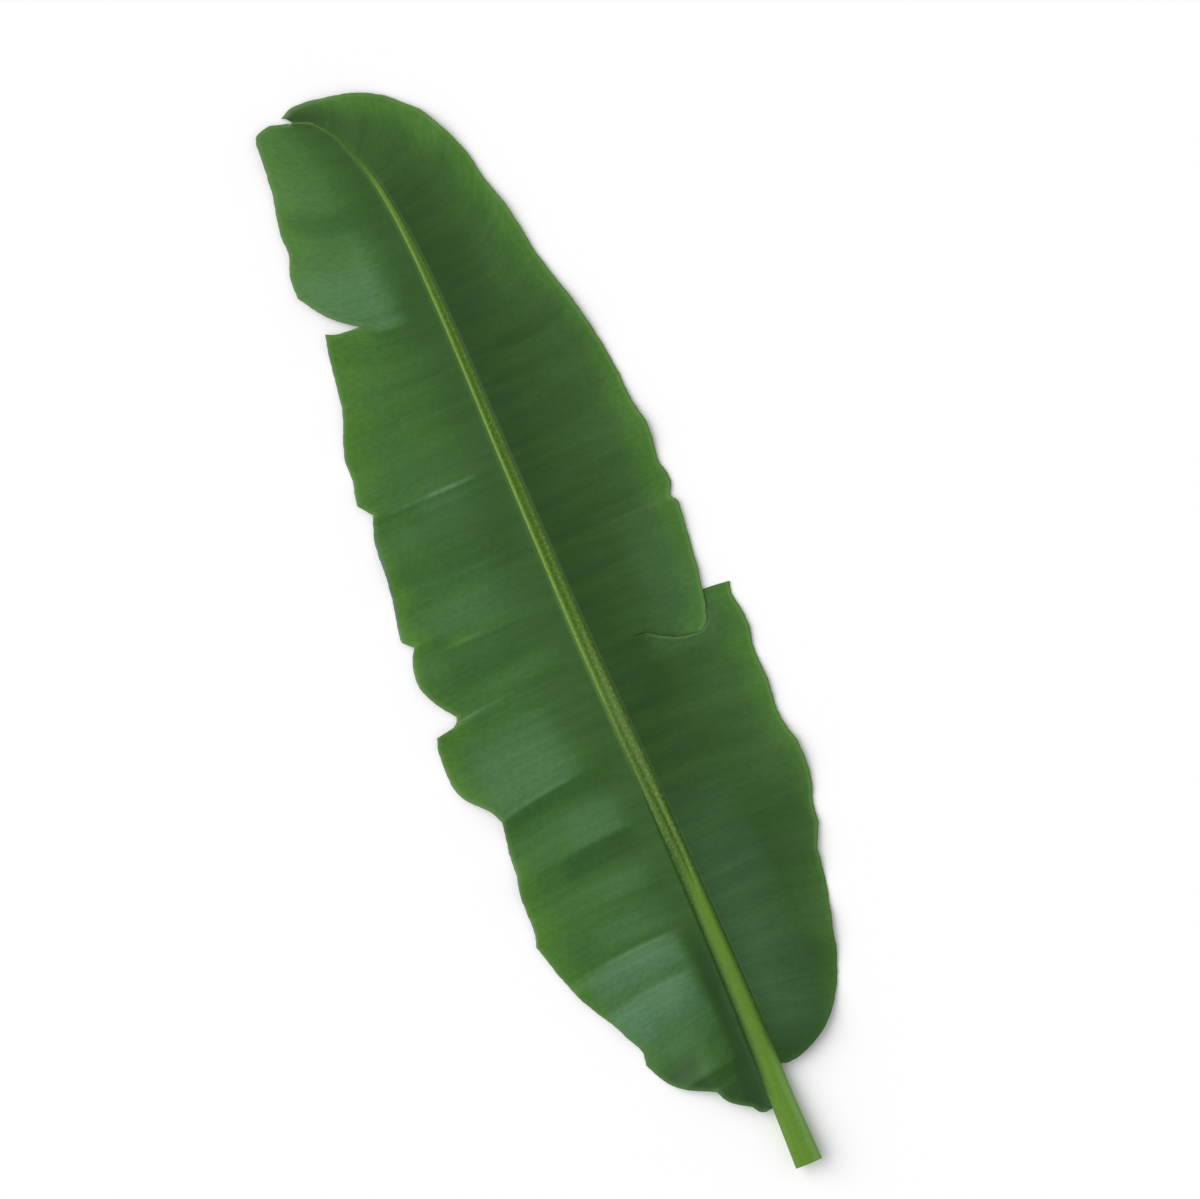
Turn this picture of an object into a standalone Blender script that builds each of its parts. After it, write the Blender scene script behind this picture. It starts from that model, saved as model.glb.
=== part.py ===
"""Abaca leaf, cut with a short piece of its stalk and laid on its back.

Two solids: the green blade, and the yellow-green midrib that runs on as the cut stalk.
Lengths are in millimetres until a mesh is written. A place on the leaf is named by its
station t, the distance along the midrib from the foot of the blade, and by how far it lies
out from the midrib.
"""
import math

import bmesh
import bpy
import numpy as np

MM = 0.001
SOFT, BEND = 0, 1

# Where the foot of the blade lies when the leaf's own box is centred
FOOT = (11.67, -568.14)

# Blade
BLADE_THICK = 0.8
BLADE_FLOOR = 0.5
RIB_GAP = 0.45
DROOP_REACH = 140
INNER_REACH = 42
STRAIGHT_BY_STALK = (60, 300)
FOLD_REACH = 60
GROOVE_RISE = 5
GROOVE_REACH = 90
GROOVE_FADE = (140, 300)
ROW_STEP = 17
CURVE_START = 1100
CURVE_STEP = 9
INNER_COLUMNS = (0, 0.2, 0.55, 1)
OUTER_COLUMNS = (0.12, 0.3, 0.5, 0.7, 0.86, 1)

# Tear in the right half: the lobe towards the tip lies over the lobe towards the foot
TEAR = 530
TEAR_RISE = 0.9
TEAR_BOW = 11
TEAR_HANG = 10
TEAR_SLIT = 1
TEAR_START = 0.2

# Midrib
RIB_END = 1190
SEAM_START = 1194
STALK_CUT = -69
RIB_STEP = 26
KEEL_FLAT = 0.2
SIDE_LOW = 0.62
ATTACH = 0.8

# Centre line of the midrib: station, x, y
RIB_LINE = (
    (-69, -2, -69, SOFT), (0, -1, 0, SOFT), (100, 2, 100, SOFT), (250, 3, 250, SOFT),
    (350, 3, 350, SOFT), (450, 1.5, 450, SOFT), (550, 0, 550, SOFT), (750, 0.5, 750, SOFT),
    (950, 1.5, 950, SOFT), (1010, 0, 1010, SOFT), (1060, -4, 1060, SOFT), (1100, -10, 1100, SOFT),
    (1132, -18, 1130, SOFT), (1164, -30, 1160, SOFT), (1191, -47, 1181, SOFT), (1212, -66, 1190, SOFT),
)

# Midrib: station, half width, depth, lift of its keel
RIB_SIZE = (
    (-69, 15.3, 22, 0, SOFT), (0, 13.5, 20, 0, SOFT), (100, 12, 17.5, 0, SOFT), (300, 9.7, 14, 0, SOFT),
    (500, 8.2, 11.5, 0, SOFT), (800, 6.2, 8, 0, BEND), (1000, 4.4, 5.8, 2.5, SOFT), (1100, 3, 4.2, 5, SOFT),
    (1160, 1.7, 2.8, 5, SOFT), (1191, 0.8, 2, 4.5, SOFT), (1212, 0.5, 1.6, 4, SOFT),
)

# Channel on top of the midrib: station, depth, where its middle lies across, how wide it is
CHANNEL = (
    (-69, 0, 0.25, 0.15, SOFT), (250, 0, 0.25, 0.15, BEND), (290, 2, 0.27, 0.2, SOFT),
    (345, 2.8, 0.12, 0.28, SOFT), (390, 2.4, 0, 0.4, SOFT), (440, 2.8, -0.2, 0.45, SOFT),
    (520, 2.4, -0.08, 0.5, SOFT), (620, 2.2, 0.15, 0.6, SOFT), (900, 1.3, 0.25, 0.6, SOFT),
    (1100, 0.7, 0.3, 0.6, SOFT), (1212, 0.2, 0.3, 0.6, SOFT),
)

# Edge of the left half: station, x, y, lift of the edge
LEFT_EDGE = (
    (1.5, -22.4, 0.3, 0, BEND), (9, -28, 2.5, 0, SOFT), (20, -34, 11, 0, BEND), (36, -55, 26, 1, SOFT),
    (50, -63, 41, 2, BEND), (79, -99, 61, 2.5, SOFT), (105, -115, 82, 0, SOFT), (119, -122, 98, 0, BEND),
    (131, -120, 111, 0, SOFT), (152, -130, 136, 2, SOFT), (172, -140, 157, 4, SOFT),
    (196, -155, 183.5, 1, SOFT), (226, -167, 215, 2, SOFT), (272, -180, 262, 0, BEND),
    (284, -177, 274, 0, SOFT), (340, -173, 326.5, 5, SOFT), (356, -169, 342.5, 4, SOFT),
    (372, -168, 357.5, 1, SOFT),
    (418, -160, 403, 6, BEND), (434, -168.5, 419.5, 5, SOFT), (452, -186, 438.5, 2, SOFT),
    (496, -194.5, 485, 0, SOFT), (512, -192.4, 503.5, 3, SOFT), (522, -188, 514.5, 6, BEND),
    (526, -168, 517.5, 4, BEND), (530, -163, 521.5, 3, SOFT), (536, -160.7, 527.5, 2, BEND),
    (568, -182, 563, 5, SOFT), (583, -184.5, 579, 3, SOFT), (604, -180, 601, 0, SOFT),
    (617, -172.5, 614.5, 4, BEND), (626, -182.4, 624.5, 3, BEND), (634, -182, 631, 1, SOFT),
    (674, -173, 673.5, 0, SOFT), (705, -169, 704, 4, SOFT), (735, -166.5, 735, 1, SOFT),
    (765, -156, 764.5, 4, BEND), (780, -168, 780.5, 5, BEND), (807, -161.5, 808.5, 0, SOFT),
    (829, -160, 831.5, 0, SOFT), (873, -140.5, 885, 3, SOFT), (903, -134, 925, 0, SOFT),
    (934, -125.7, 965, 5, BEND), (939, -111.5, 959.5, 3, SOFT), (943, -87.3, 957.8, 1, BEND),
    (963, -112, 977, 4, SOFT), (993, -137, 1012.5, 2, BEND), (1016, -135.4, 1038, 0, SOFT),
    (1036, -127, 1060, 3, SOFT), (1054, -127, 1079, 2, SOFT), (1100, -117, 1129.5, 0, SOFT),
    (1130, -113.5, 1160, 3, SOFT), (1152, -111.7, 1185, 4, BEND), (1164, -107.5, 1192, 3, SOFT),
    (1180, -92, 1197, 2, SOFT), (1194, -81, 1194, 1, SOFT), (1204, -75, 1192.4, 0, SOFT),
    (1212, -71, 1191.2, 0, SOFT),
)

# Edge of the right half below the tear
FOOT_LOBE_EDGE = (
    (43.5, 20, 40, 0, SOFT), (56, 37, 42, 0, SOFT), (72, 65, 54.5, 1, SOFT), (88, 81, 66.7, 2, SOFT),
    (112, 101, 93, 0, SOFT), (136, 113.8, 120, 0, SOFT), (174, 125.7, 161, 3, SOFT),
    (213, 136.7, 202.5, 0, SOFT), (250, 143, 241, 4, BEND), (275, 155, 267, 3, SOFT),
    (296, 158.5, 288, 0, SOFT), (320, 167, 312.5, 1, SOFT), (354, 169.8, 347, 5, SOFT),
    (368, 169, 361, 4, SOFT), (381, 165, 374, 2, SOFT), (399, 163, 391.5, 0, SOFT),
    (440, 166.7, 432.5, 3, SOFT), (474, 166.3, 467, 0, SOFT), (506, 171.5, 504, 2, SOFT),
    (521, 167.2, 532, 1, BEND), (530, 171.4, 545, 0, BEND),
)

# Edge of the right half from the tear to the tip
TIP_LOBE_EDGE = (
    (530, 121, 507, 1.2, BEND), (533, 129, 512, 1.5, SOFT), (541, 134.5, 525, 2, SOFT),
    (556, 140, 546, 2.5, SOFT), (600, 148.5, 597, 0, SOFT), (645, 154.4, 644.5, 3, BEND),
    (650, 153.5, 650, 3, BEND), (655, 148.5, 655, 2, BEND), (665, 154.7, 666.5, 1, SOFT),
    (693, 152.7, 694.5, 0, SOFT), (738, 157, 740, 4, SOFT), (758, 153, 761, 3, SOFT),
    (808, 149.6, 815.5, 0, SOFT), (870, 138.5, 885.5, 4, SOFT), (926, 121.3, 952.5, 0, SOFT),
    (980, 110.4, 1020, 3, SOFT), (1008, 101, 1052.5, 1, SOFT), (1036, 94.6, 1087, 0, SOFT),
    (1064, 80, 1124.5, 3, SOFT), (1085, 67, 1149, 2, BEND), (1116, 34, 1180, 0, SOFT),
    (1140, 7, 1194, 2, SOFT), (1164, -17.5, 1200, 3, SOFT), (1194, -50, 1205.5, 1, SOFT),
    (1204, -64, 1205, 0, SOFT), (1212, -76, 1199, 0, SOFT),
)

# Folds across each half, which follow the veins: station, height
LEFT_FOLDS = (
    (1.5, 0, SOFT), (55, 0.3, BEND), (73, 2.6, BEND), (95, 0.8, SOFT), (122, 1, SOFT), (152, 4, SOFT),
    (178, 0.5, BEND), (192, 2.4, SOFT), (206, 4.5, SOFT), (222, 0.5, BEND), (252, 2.2, SOFT),
    (285, 3.4, SOFT), (320, 1, SOFT), (344, 3.2, BEND), (375, 1.2, SOFT), (398, 0.8, SOFT),
    (418, 5, BEND), (450, 3, SOFT), (490, 1.2, SOFT), (526, 0.5, BEND), (536, 1.6, BEND),
    (550, 0.5, SOFT),
    (590, 1.5, SOFT), (625, 0.5, SOFT), (665, 1.5, SOFT), (705, 3, SOFT), (735, 1, SOFT),
    (752, 0.5, BEND), (760, 1.8, BEND), (772, 0.5, SOFT), (807, 0.5, SOFT), (850, 1.5, SOFT),
    (903, 0.5, SOFT), (943, 2, SOFT), (993, 3.5, SOFT), (1036, 1, SOFT), (1100, 2.5, SOFT),
    (1164, 1, SOFT), (1212, 0, SOFT),
)
RIGHT_FOLDS = (
    (43.5, 0, SOFT), (88, 2, SOFT), (120, 0.5, SOFT), (160, 2.5, SOFT), (205, 0.5, SOFT), (240, 2, SOFT),
    (275, 0.5, SOFT), (310, 2.5, SOFT), (350, 1, SOFT), (399, 3, SOFT), (440, 0.5, SOFT), (480, 2, SOFT),
    (530, 0.8, SOFT), (575, 2.2, SOFT), (620, 2, SOFT), (655, 0.8, SOFT), (700, 2.5, SOFT),
    (758, 1, SOFT), (808, 2, SOFT), (870, 0.8, SOFT), (926, 2.2, SOFT), (980, 0.8, SOFT),
    (1036, 2, SOFT), (1085, 0.8, SOFT), (1140, 2, SOFT), (1212, 0, SOFT),
)

BLADE_GREEN = (0.055, 0.135, 0.030, 1)
RIB_GREEN = (0.150, 0.270, 0.050, 1)


def along(keys, t):
    """Values at stations t of a smooth curve through the keys, which turns sharply at each BEND."""
    keys = np.array(keys, float)
    at, values, bend = keys[:, 0], keys[:, 1:-1], keys[:, -1:] == BEND
    span = np.diff(at)[:, None]
    slope = np.diff(values, axis=0) / span
    before = np.vstack([slope[:1], slope])
    after = np.vstack([slope, slope[-1:]])
    near = np.vstack([span[:1], span])
    far = np.vstack([span, span[-1:]])
    through = (before * far + after * near) / (near + far)
    arrive = np.where(bend, before, through)
    leave = np.where(bend, after, through)
    i = np.clip(np.searchsorted(at, t, side="right") - 1, 0, len(at) - 2)
    f = ((t - at[i])[:, None]) / span[i]
    rise = f * f * (3 - 2 * f)
    start = values[i] * (1 - rise) + values[i + 1] * rise
    return start + span[i] * (leave[i] * f * (1 - f) ** 2 - arrive[i + 1] * f * f * (1 - f))


def ease(x):
    """Rises smoothly from 0 to 1 as x does."""
    x = np.clip(x, 0, 1)
    return x * x * (3 - 2 * x)


def rows_between(step, first, last, *key_lists):
    """Stations from first to last: those of the keys, with others between, no further apart than step.

    They are closer past CURVE_START, where the midrib bends.
    """
    wanted = sorted({k[0] for keys in key_lists for k in keys if first < k[0] < last})
    rows = [first]
    for t in wanted + [last]:
        if t - rows[-1] < 3 and t != last:
            continue
        parts = math.ceil((t - rows[-1]) / (CURVE_STEP if t > CURVE_START else step))
        rows += [rows[-1] + (t - rows[-1]) * k / parts for k in range(1, parts)] + [t]
    return np.array(rows, float)


def rib_frame(t):
    """Centre of the midrib at stations t, and the direction across it to the right."""
    centre = along(RIB_LINE, t)
    ahead = along(RIB_LINE, t + 1) - along(RIB_LINE, t - 1)
    ahead /= np.linalg.norm(ahead, axis=1, keepdims=True)
    return centre, np.stack([ahead[:, 1], -ahead[:, 0]], axis=1)


def rungs(t, side, edge_keys):
    """Plan of one half at stations t: points from the midrib out along each vein, and how far out they are.

    Each vein leaves the midrib square to it for INNER_REACH, then bends to its place on the edge.
    side is -1 for the left half and 1 for the right. Near the tip and near the stalk the
    veins run almost straight to the edge.
    """
    centre, across = rib_frame(t)
    edge = along(edge_keys, t)
    half = along(RIB_SIZE, t)[:, 0] + RIB_GAP
    half = half * np.clip((SEAM_START - t) / (SEAM_START - RIB_END), 0, 1)
    root = centre + side * across * half[:, None]
    chord = edge[:, :2] - root
    reach = np.linalg.norm(chord, axis=1, keepdims=True)
    first, last = STRAIGHT_BY_STALK
    turn = (0.8 * ease((t - 1040) / 120) + 0.85 * ease((last - t) / (last - first)))[:, None]
    out = (1 - turn) * side * across + turn * chord / reach
    out /= np.linalg.norm(out, axis=1, keepdims=True)
    inner = np.minimum(INNER_REACH, 0.45 * reach)
    middle = root + out * inner
    bend = middle + out * 0.5 * np.linalg.norm(edge[:, :2] - middle, axis=1, keepdims=True)
    straight = np.array(INNER_COLUMNS)[None, :, None]
    w = np.array(OUTER_COLUMNS)[None, :, None]
    near = root[:, None] + (middle - root)[:, None] * straight
    far = (1 - w) ** 2 * middle[:, None] + 2 * w * (1 - w) * bend[:, None] + w * w * edge[:, None, :2]
    plan = np.concatenate([near, far], axis=1)
    distance = np.linalg.norm(plan - root[:, None], axis=2)
    outward = np.concatenate([np.zeros(len(INNER_COLUMNS)), np.array(OUTER_COLUMNS)])
    return plan, distance, np.broadcast_to(outward, distance.shape), edge[:, 2:3]


def half_surface(t, side, edge_keys, fold_keys):
    """Middle surface of one half of the blade, as rows of points.

    It droops from the midrib to the floor, with folds that grow outwards along the veins. Near
    the stalk it first rises from the midrib, and its edge lifts and dips in slow waves.
    """
    plan, distance, outward, edge_lift = rungs(t, side, edge_keys)
    size = along(RIB_SIZE, t)
    root_height = (ATTACH * size[:, 1] - BLADE_FLOOR)[:, None]
    droop = root_height * np.clip(1 - distance / DROOP_REACH, 0, 1) ** 2
    fold = along(fold_keys, t) * ease(distance / FOLD_REACH)
    lift = edge_lift * outward ** 1.5
    keel = size[:, 2:3] * (1 - 0.7 * outward ** 2)
    by_stalk = 1 - ease((t - GROOVE_FADE[0]) / (GROOVE_FADE[1] - GROOVE_FADE[0]))[:, None]
    shoulder = GROOVE_RISE * by_stalk * np.sin(math.pi * np.clip(distance / GROOVE_REACH, 0, 1)) ** 2
    z = BLADE_FLOOR + droop + fold + lift + keel + shoulder
    return np.concatenate([plan, np.maximum(z, BLADE_FLOOR)[:, :, None]], axis=2), outward


def left_half():
    t = rows_between(ROW_STEP, LEFT_EDGE[0][0], LEFT_EDGE[-1][0], LEFT_EDGE, LEFT_FOLDS)
    t = np.append(t[t < SEAM_START - 3], seam_rows())
    return half_surface(t, -1, LEFT_EDGE, LEFT_FOLDS)[0]


def foot_lobe():
    """Right half below the tear, where it sinks to the floor and its torn edge bows under the other lobe."""
    t = rows_between(ROW_STEP, FOOT_LOBE_EDGE[0][0], TEAR, FOOT_LOBE_EDGE, RIGHT_FOLDS)
    surface, outward = half_surface(t, 1, FOOT_LOBE_EDGE, RIGHT_FOLDS)
    opening = ease(outward / TEAR_START)
    back = (TEAR - t)[:, None]
    surface[:, :, 2] -= (surface[:, :, 2] - BLADE_FLOOR) * opening * 0.9 * np.exp(-back / 30)
    bow = np.sin(math.pi * np.clip((outward - TEAR_START) / (1 - TEAR_START), 0, 1))
    surface[:, :, 1] += (TEAR_BOW * bow - TEAR_SLIT * opening) * np.exp(-back / 12)
    return surface


def tip_lobe():
    """Right half from the tear to the tip: at the tear it lies over the other lobe and hangs across it."""
    t = rows_between(ROW_STEP, TEAR, TIP_LOBE_EDGE[-1][0], TIP_LOBE_EDGE, RIGHT_FOLDS)
    t = np.append(t[t < SEAM_START - 3], seam_rows())
    surface, outward = half_surface(t, 1, TIP_LOBE_EDGE, RIGHT_FOLDS)
    onward = (t - TEAR)[:, None]
    surface[:, :, 2] += TEAR_RISE * ease(outward / TEAR_START) * np.exp(-onward / 45)
    bow = np.sin(math.pi * np.clip((outward - TEAR_START) / (1 - TEAR_START), 0, 1))
    surface[:, :, 1] -= TEAR_HANG * bow * np.exp(-onward / 25)
    return surface


def seam_rows():
    """Stations past the end of the midrib, where the two halves share their inner points."""
    return np.array([RIB_END, SEAM_START, SEAM_START + 9, RIB_LINE[-1][0]], float)


def grid_triangles(points, first, flip):
    """Triangles over rows of points, split along the shorter diagonal of each cell."""
    rows, columns = points.shape[:2]
    index = first + np.arange(rows * columns).reshape(rows, columns)
    a, b, c, d = index[:-1, :-1], index[:-1, 1:], index[1:, 1:], index[1:, :-1]
    across_ac = np.linalg.norm(points[:-1, :-1] - points[1:, 1:], axis=2)
    across_bd = np.linalg.norm(points[:-1, 1:] - points[1:, :-1], axis=2)
    use_ac = (across_ac <= across_bd)[:, :, None]
    one = np.where(use_ac, np.stack([a, b, c], axis=2), np.stack([a, b, d], axis=2))
    two = np.where(use_ac, np.stack([a, c, d], axis=2), np.stack([b, c, d], axis=2))
    faces = np.concatenate([one, two]).reshape(-1, 3)
    return faces[:, ::-1] if flip else faces


def placed(points):
    """Points in metres, with the leaf's box centred over the origin."""
    return (points.reshape(-1, 3) + [FOOT[0], FOOT[1], 0]) * MM


def material(name, colour, roughness):
    made = bpy.data.materials.new(name)
    made.use_nodes = True
    shader = made.node_tree.nodes["Principled BSDF"]
    shader.inputs["Base Color"].default_value = colour
    shader.inputs["Roughness"].default_value = roughness
    shader.inputs["Metallic"].default_value = 0
    return made


def add_object(collection, name, vertices, faces, finish):
    mesh = bpy.data.meshes.new(name)
    mesh.from_pydata(vertices.tolist(), [], faces.tolist())
    mesh.materials.append(finish)
    made = bpy.data.objects.new(name, mesh)
    collection.objects.link(made)
    return made


def make_blade(collection):
    """One sheet, joined past the end of the midrib and slit round it, given its thickness by Solidify."""
    vertices = []
    faces = []
    first = 0
    for points, flip in ((left_half(), True), (foot_lobe(), False), (tip_lobe(), False)):
        vertices.append(placed(points))
        faces.append(grid_triangles(points, first, flip))
        first += points.shape[0] * points.shape[1]
    finish = material("leaf_green", BLADE_GREEN, 0.45)
    blade = add_object(collection, "leaf_blade", np.concatenate(vertices), np.concatenate(faces), finish)
    sheet = bmesh.new()
    sheet.from_mesh(blade.data)
    bmesh.ops.remove_doubles(sheet, verts=sheet.verts, dist=0.00001)
    sheet.to_mesh(blade.data)
    sheet.free()
    blade.data.shade_smooth()
    wall = blade.modifiers.new("thickness", "SOLIDIFY")
    wall.thickness = BLADE_THICK * MM
    wall.offset = 0
    return blade


def rib_section(t):
    """Closed outline of the midrib at each station t: over the top from left to right, and back below.

    The top is gently crowned, with a channel that closes to a slit towards the stalk. The
    underside is a round keel with a narrow flat along its lowest line.
    """
    centre, across = rib_frame(t)
    half, depth, keel = along(RIB_SIZE, t).T[:, :, None]
    channel, middle, width = along(CHANNEL, t).T[:, :, None]
    over = np.array([-1, -0.93, -0.75, -0.45, -0.15, 0.1, 0.3, 0.5, 0.75, 0.93, 1])[None, :]
    under = np.array([1, 0.86, 0.62, KEEL_FLAT, -KEEL_FLAT, -0.62, -0.86, -1])[None, :]
    crown = depth * (0.94 + 0.06 * (1 - over ** 2) - 0.12 * np.abs(over) ** 6)
    top = crown - channel * np.exp(-((over - middle) / width) ** 2)
    bottom = depth * SIDE_LOW * np.clip((np.abs(under) - KEEL_FLAT) / (1 - KEEL_FLAT), 0, 1) ** 2.2
    v = np.concatenate([np.broadcast_to(over, top.shape), np.broadcast_to(under, bottom.shape)], axis=1)
    z = np.concatenate([top, bottom], axis=1) + keel
    plan = centre[:, None] + across[:, None] * (half * v)[:, :, None]
    return np.concatenate([plan, z[:, :, None]], axis=2)


def make_midrib(collection):
    """A loft of the rib's sections, from the flat cut of the stalk to the thin end near the tip."""
    t = rows_between(RIB_STEP, STALK_CUT, RIB_END, RIB_LINE, RIB_SIZE, CHANNEL)
    points = rib_section(t)
    rows, columns = points.shape[:2]
    index = np.arange(rows * columns).reshape(rows, columns)
    onward = np.roll(index, -1, axis=1)
    a, b, c, d = index[:-1].ravel(), onward[:-1].ravel(), onward[1:].ravel(), index[1:].ravel()
    sides = np.concatenate([np.stack([a, b, c], axis=1), np.stack([a, c, d], axis=1)])
    finish = material("rib_green", RIB_GREEN, 0.4)
    rib = add_object(collection, "midrib_petiole", placed(points), sides, finish)
    loft = bmesh.new()
    loft.from_mesh(rib.data)
    bmesh.ops.holes_fill(loft, edges=loft.edges, sides=0)
    bmesh.ops.triangulate(loft, faces=[f for f in loft.faces if len(f.verts) > 3])
    bmesh.ops.recalc_face_normals(loft, faces=loft.faces)
    loft.to_mesh(rib.data)
    loft.free()
    rib.data.shade_smooth()
    rib.data.set_sharp_from_angle(angle=math.radians(50))
    return rib


def main():
    for old in list(bpy.data.objects):
        bpy.data.objects.remove(old)
    leaf = bpy.data.collections.new("abaca_leaf")
    bpy.context.scene.collection.children.link(leaf)
    make_blade(leaf)
    make_midrib(leaf)


main()
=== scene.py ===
"""Looks of the abaca leaf: a waxy green blade with fine cross veins, and its yellow-green midrib.

Lengths are in millimetres until a mesh is written. A place on the leaf is named by its station t,
the distance along the midrib from the foot of the blade, and by how far it lies out from the midrib.
"""
import math

import bpy
import numpy as np
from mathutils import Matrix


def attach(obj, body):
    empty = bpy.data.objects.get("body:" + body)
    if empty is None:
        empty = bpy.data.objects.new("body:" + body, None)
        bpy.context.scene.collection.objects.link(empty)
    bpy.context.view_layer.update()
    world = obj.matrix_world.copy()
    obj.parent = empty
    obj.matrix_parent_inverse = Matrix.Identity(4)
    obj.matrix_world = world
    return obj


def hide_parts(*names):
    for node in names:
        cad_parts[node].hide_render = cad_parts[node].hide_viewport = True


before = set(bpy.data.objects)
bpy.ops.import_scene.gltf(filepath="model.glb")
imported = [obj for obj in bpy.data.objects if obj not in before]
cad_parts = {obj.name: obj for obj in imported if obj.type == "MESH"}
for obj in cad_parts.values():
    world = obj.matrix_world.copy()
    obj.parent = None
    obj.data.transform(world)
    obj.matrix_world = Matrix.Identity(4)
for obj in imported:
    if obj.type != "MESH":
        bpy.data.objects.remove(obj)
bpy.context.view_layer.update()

MM = 0.001
SOFT, BEND = 0, 1
LEFT, RIGHT = -1, 1

# Where the foot of the blade lies when the leaf's own box is centred
FOOT = (11.67, -568.14)

# The photograph's frame, and the camera straight above it, which sees CAMERA_REACH metres far
PHOTO_TURN = math.radians(23.5)
PHOTO_WIDTH = 1304.4
PHOTO_CENTRE = (45.5, 14.0)
CAMERA_HEIGHT = 7000
CAMERA_REACH = 50
SENSOR = 36

# Floor, in metres
FLOOR_REACH = 15
FLOOR_BELOW = 0.0004
FLOOR_WHITE = (0.9, 0.9, 0.9, 1)

# Light: the turn and tilt of the soft sun, how wide it is, and its strength and the sky's
SUN_TURN = math.radians(165)
SUN_TILT = math.radians(48)
SUN_WIDTH = math.radians(65)
SUN_STRENGTH = 2.4
SKY_STRENGTH = 0.6
SKY_WHITE = (1, 1, 1, 1)

# Blade: its thickness, the height of its middle surface over the floor, and the least height of that
BLADE_THICK = 0.5
BLADE_FLOOR = 0.5
LOWEST = 0.7 * BLADE_FLOOR

# Where the blade leaves the midrib: how far inside its side, and the length over which both sides close
ROOT_SUNK = 0.9
ROOT_CLOSE = 8

# How far out the blade droops, its veins run square to the midrib and its folds grow
DROOP_REACH = 140
INNER_REACH = 42
INNER_SHARE = 0.45
FOLD_REACH = 60

# Share of the keel's lift that is gone at the edge, and the power by which the edge's own lift grows
KEEL_FADE = 0.7
LIFT_POWER = 1.5

# Low shoulder beside the midrib near the stalk: height, reach, and the stations between which it fades
GROOVE_RISE = 5
GROOVE_REACH = 90
GROOVE_FADE = (140, 300)

# Grid of the blade: step along the midrib, and the columns' shares of both stretches of a vein
ROW_STEP = 2.3
INNER_COLUMNS = np.linspace(0, 1, 11)
OUTER_COLUMNS = np.append(np.linspace(0.04, 0.92, 23), (0.955, 0.98, 1))
SEAM_ROWS = 12

# Where the veins run straight to the edge, and how nearly: by the stalk and by the tip
STRAIGHT_BY_STALK = (60, 300)
STALK_SHARE = 0.85
STRAIGHT_BY_TIP = (1040, 1160)
TIP_SHARE = 0.8

# Waves of the edge in plan: height, length, seed. Ripple across the blade: height, length, stretch, seed
EDGE_WAVES = ((0.35, 26, 3), (0.25, 8, 4))
EDGE_WAVE_STRETCH = 9
EDGE_WAVE_REACH = 60
RIPPLES = ((0.22, 23, 14, 11), (0.07, 9, 20, 12))

# How far out the ripple grows, how much calmer the right half is, and what sets both halves apart
RIPPLE_REACH = 70
RIGHT_CALM = 0.45
RIPPLE_SHIFT = 400

# Tear in the right half: the lobe towards the tip lies over the lobe towards the foot
TEAR = 530
TEAR_RISE = 0.45
TEAR_SINK = 0.65
TEAR_BOW = 11
TEAR_HANG = 10
TEAR_SLIT = 0.3
TEAR_START = 0.2

# How far from the tear the rise, the sinking, the bow and the hanging edge fade
RISE_FADE = 45
SINK_FADE = 30
BOW_FADE = 12
HANG_FADE = 25

# Midrib: the stations of its end and its cut, and the step between its sections
RIB_END = 1190
STALK_CUT = -69
RIB_STEP = 3

# Its section, as shares of its half width or depth: flat of its keel, foot of its sides, blade's root
KEEL_FLAT = 0.2
SIDE_LOW = 0.62
ATTACH = 0.8

# Crown and shoulders of its top, as shares of its depth, and the powers of its shoulders and keel
CROWN = 0.06
SHOULDER_DROP = 0.12
SHOULDER_POWER = 6
KEEL_POWER = 2.2
OVER_POINTS = 41
UNDER_POINTS = 29
CUT_RINGS = np.append(np.linspace(0.96, 0.08, 22), 0.02)
END_RINGS = np.array([0.7, 0.4, 0.1])
END_ONWARD = np.array([0.3, 0.5, 0.6])
SHARP = math.radians(50)

# Air channels in the cut: how far apart, the rows' share of that, how deep, and how wide, squared
PIT_PITCH = 2.6
PIT_ROWS = 0.87
PIT_DEPTH = 0.7
PIT_SPREAD = 0.09

# Centre line of the midrib: station, x, y
RIB_LINE = (
    (-69, -2, -69, SOFT), (0, -1, 0, SOFT), (100, 2, 100, SOFT), (250, 3, 250, SOFT),
    (350, 3, 350, SOFT), (450, 1.5, 450, SOFT), (550, 0, 550, SOFT), (750, 0.5, 750, SOFT),
    (950, 1.5, 950, SOFT), (1010, 0, 1010, SOFT), (1060, -4, 1060, SOFT), (1100, -10, 1100, SOFT),
    (1132, -18, 1130, SOFT), (1164, -30, 1160, SOFT), (1191, -47, 1181, SOFT), (1212, -66, 1190, SOFT),
)

# Midrib: station, half width, depth, lift of its keel
RIB_SIZE = (
    (-69, 15.3, 22, 0, SOFT), (0, 13.5, 20, 0, SOFT), (100, 12, 17.5, 0, SOFT), (300, 9.7, 14, 0, SOFT),
    (500, 8.2, 11.5, 0, SOFT), (800, 6.2, 8, 0, BEND), (1000, 4.4, 5.8, 2.5, SOFT), (1100, 3, 4.2, 5, SOFT),
    (1160, 1.7, 2.8, 5, SOFT), (1191, 0.8, 2, 4.5, SOFT), (1212, 0.5, 1.6, 4, SOFT),
)

# Channel on top of the midrib: station, depth, where its middle lies across, how wide it is
CHANNEL = (
    (-69, 0, 0.25, 0.15, SOFT), (250, 0, 0.25, 0.15, BEND), (290, 2, 0.27, 0.2, SOFT),
    (345, 2.8, 0.12, 0.28, SOFT), (390, 2.4, 0, 0.4, SOFT), (440, 2.8, -0.2, 0.45, SOFT),
    (520, 2.4, -0.08, 0.5, SOFT), (620, 2.2, 0.15, 0.6, SOFT), (900, 1.3, 0.25, 0.6, SOFT),
    (1100, 0.7, 0.3, 0.6, SOFT), (1212, 0.2, 0.3, 0.6, SOFT),
)

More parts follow.
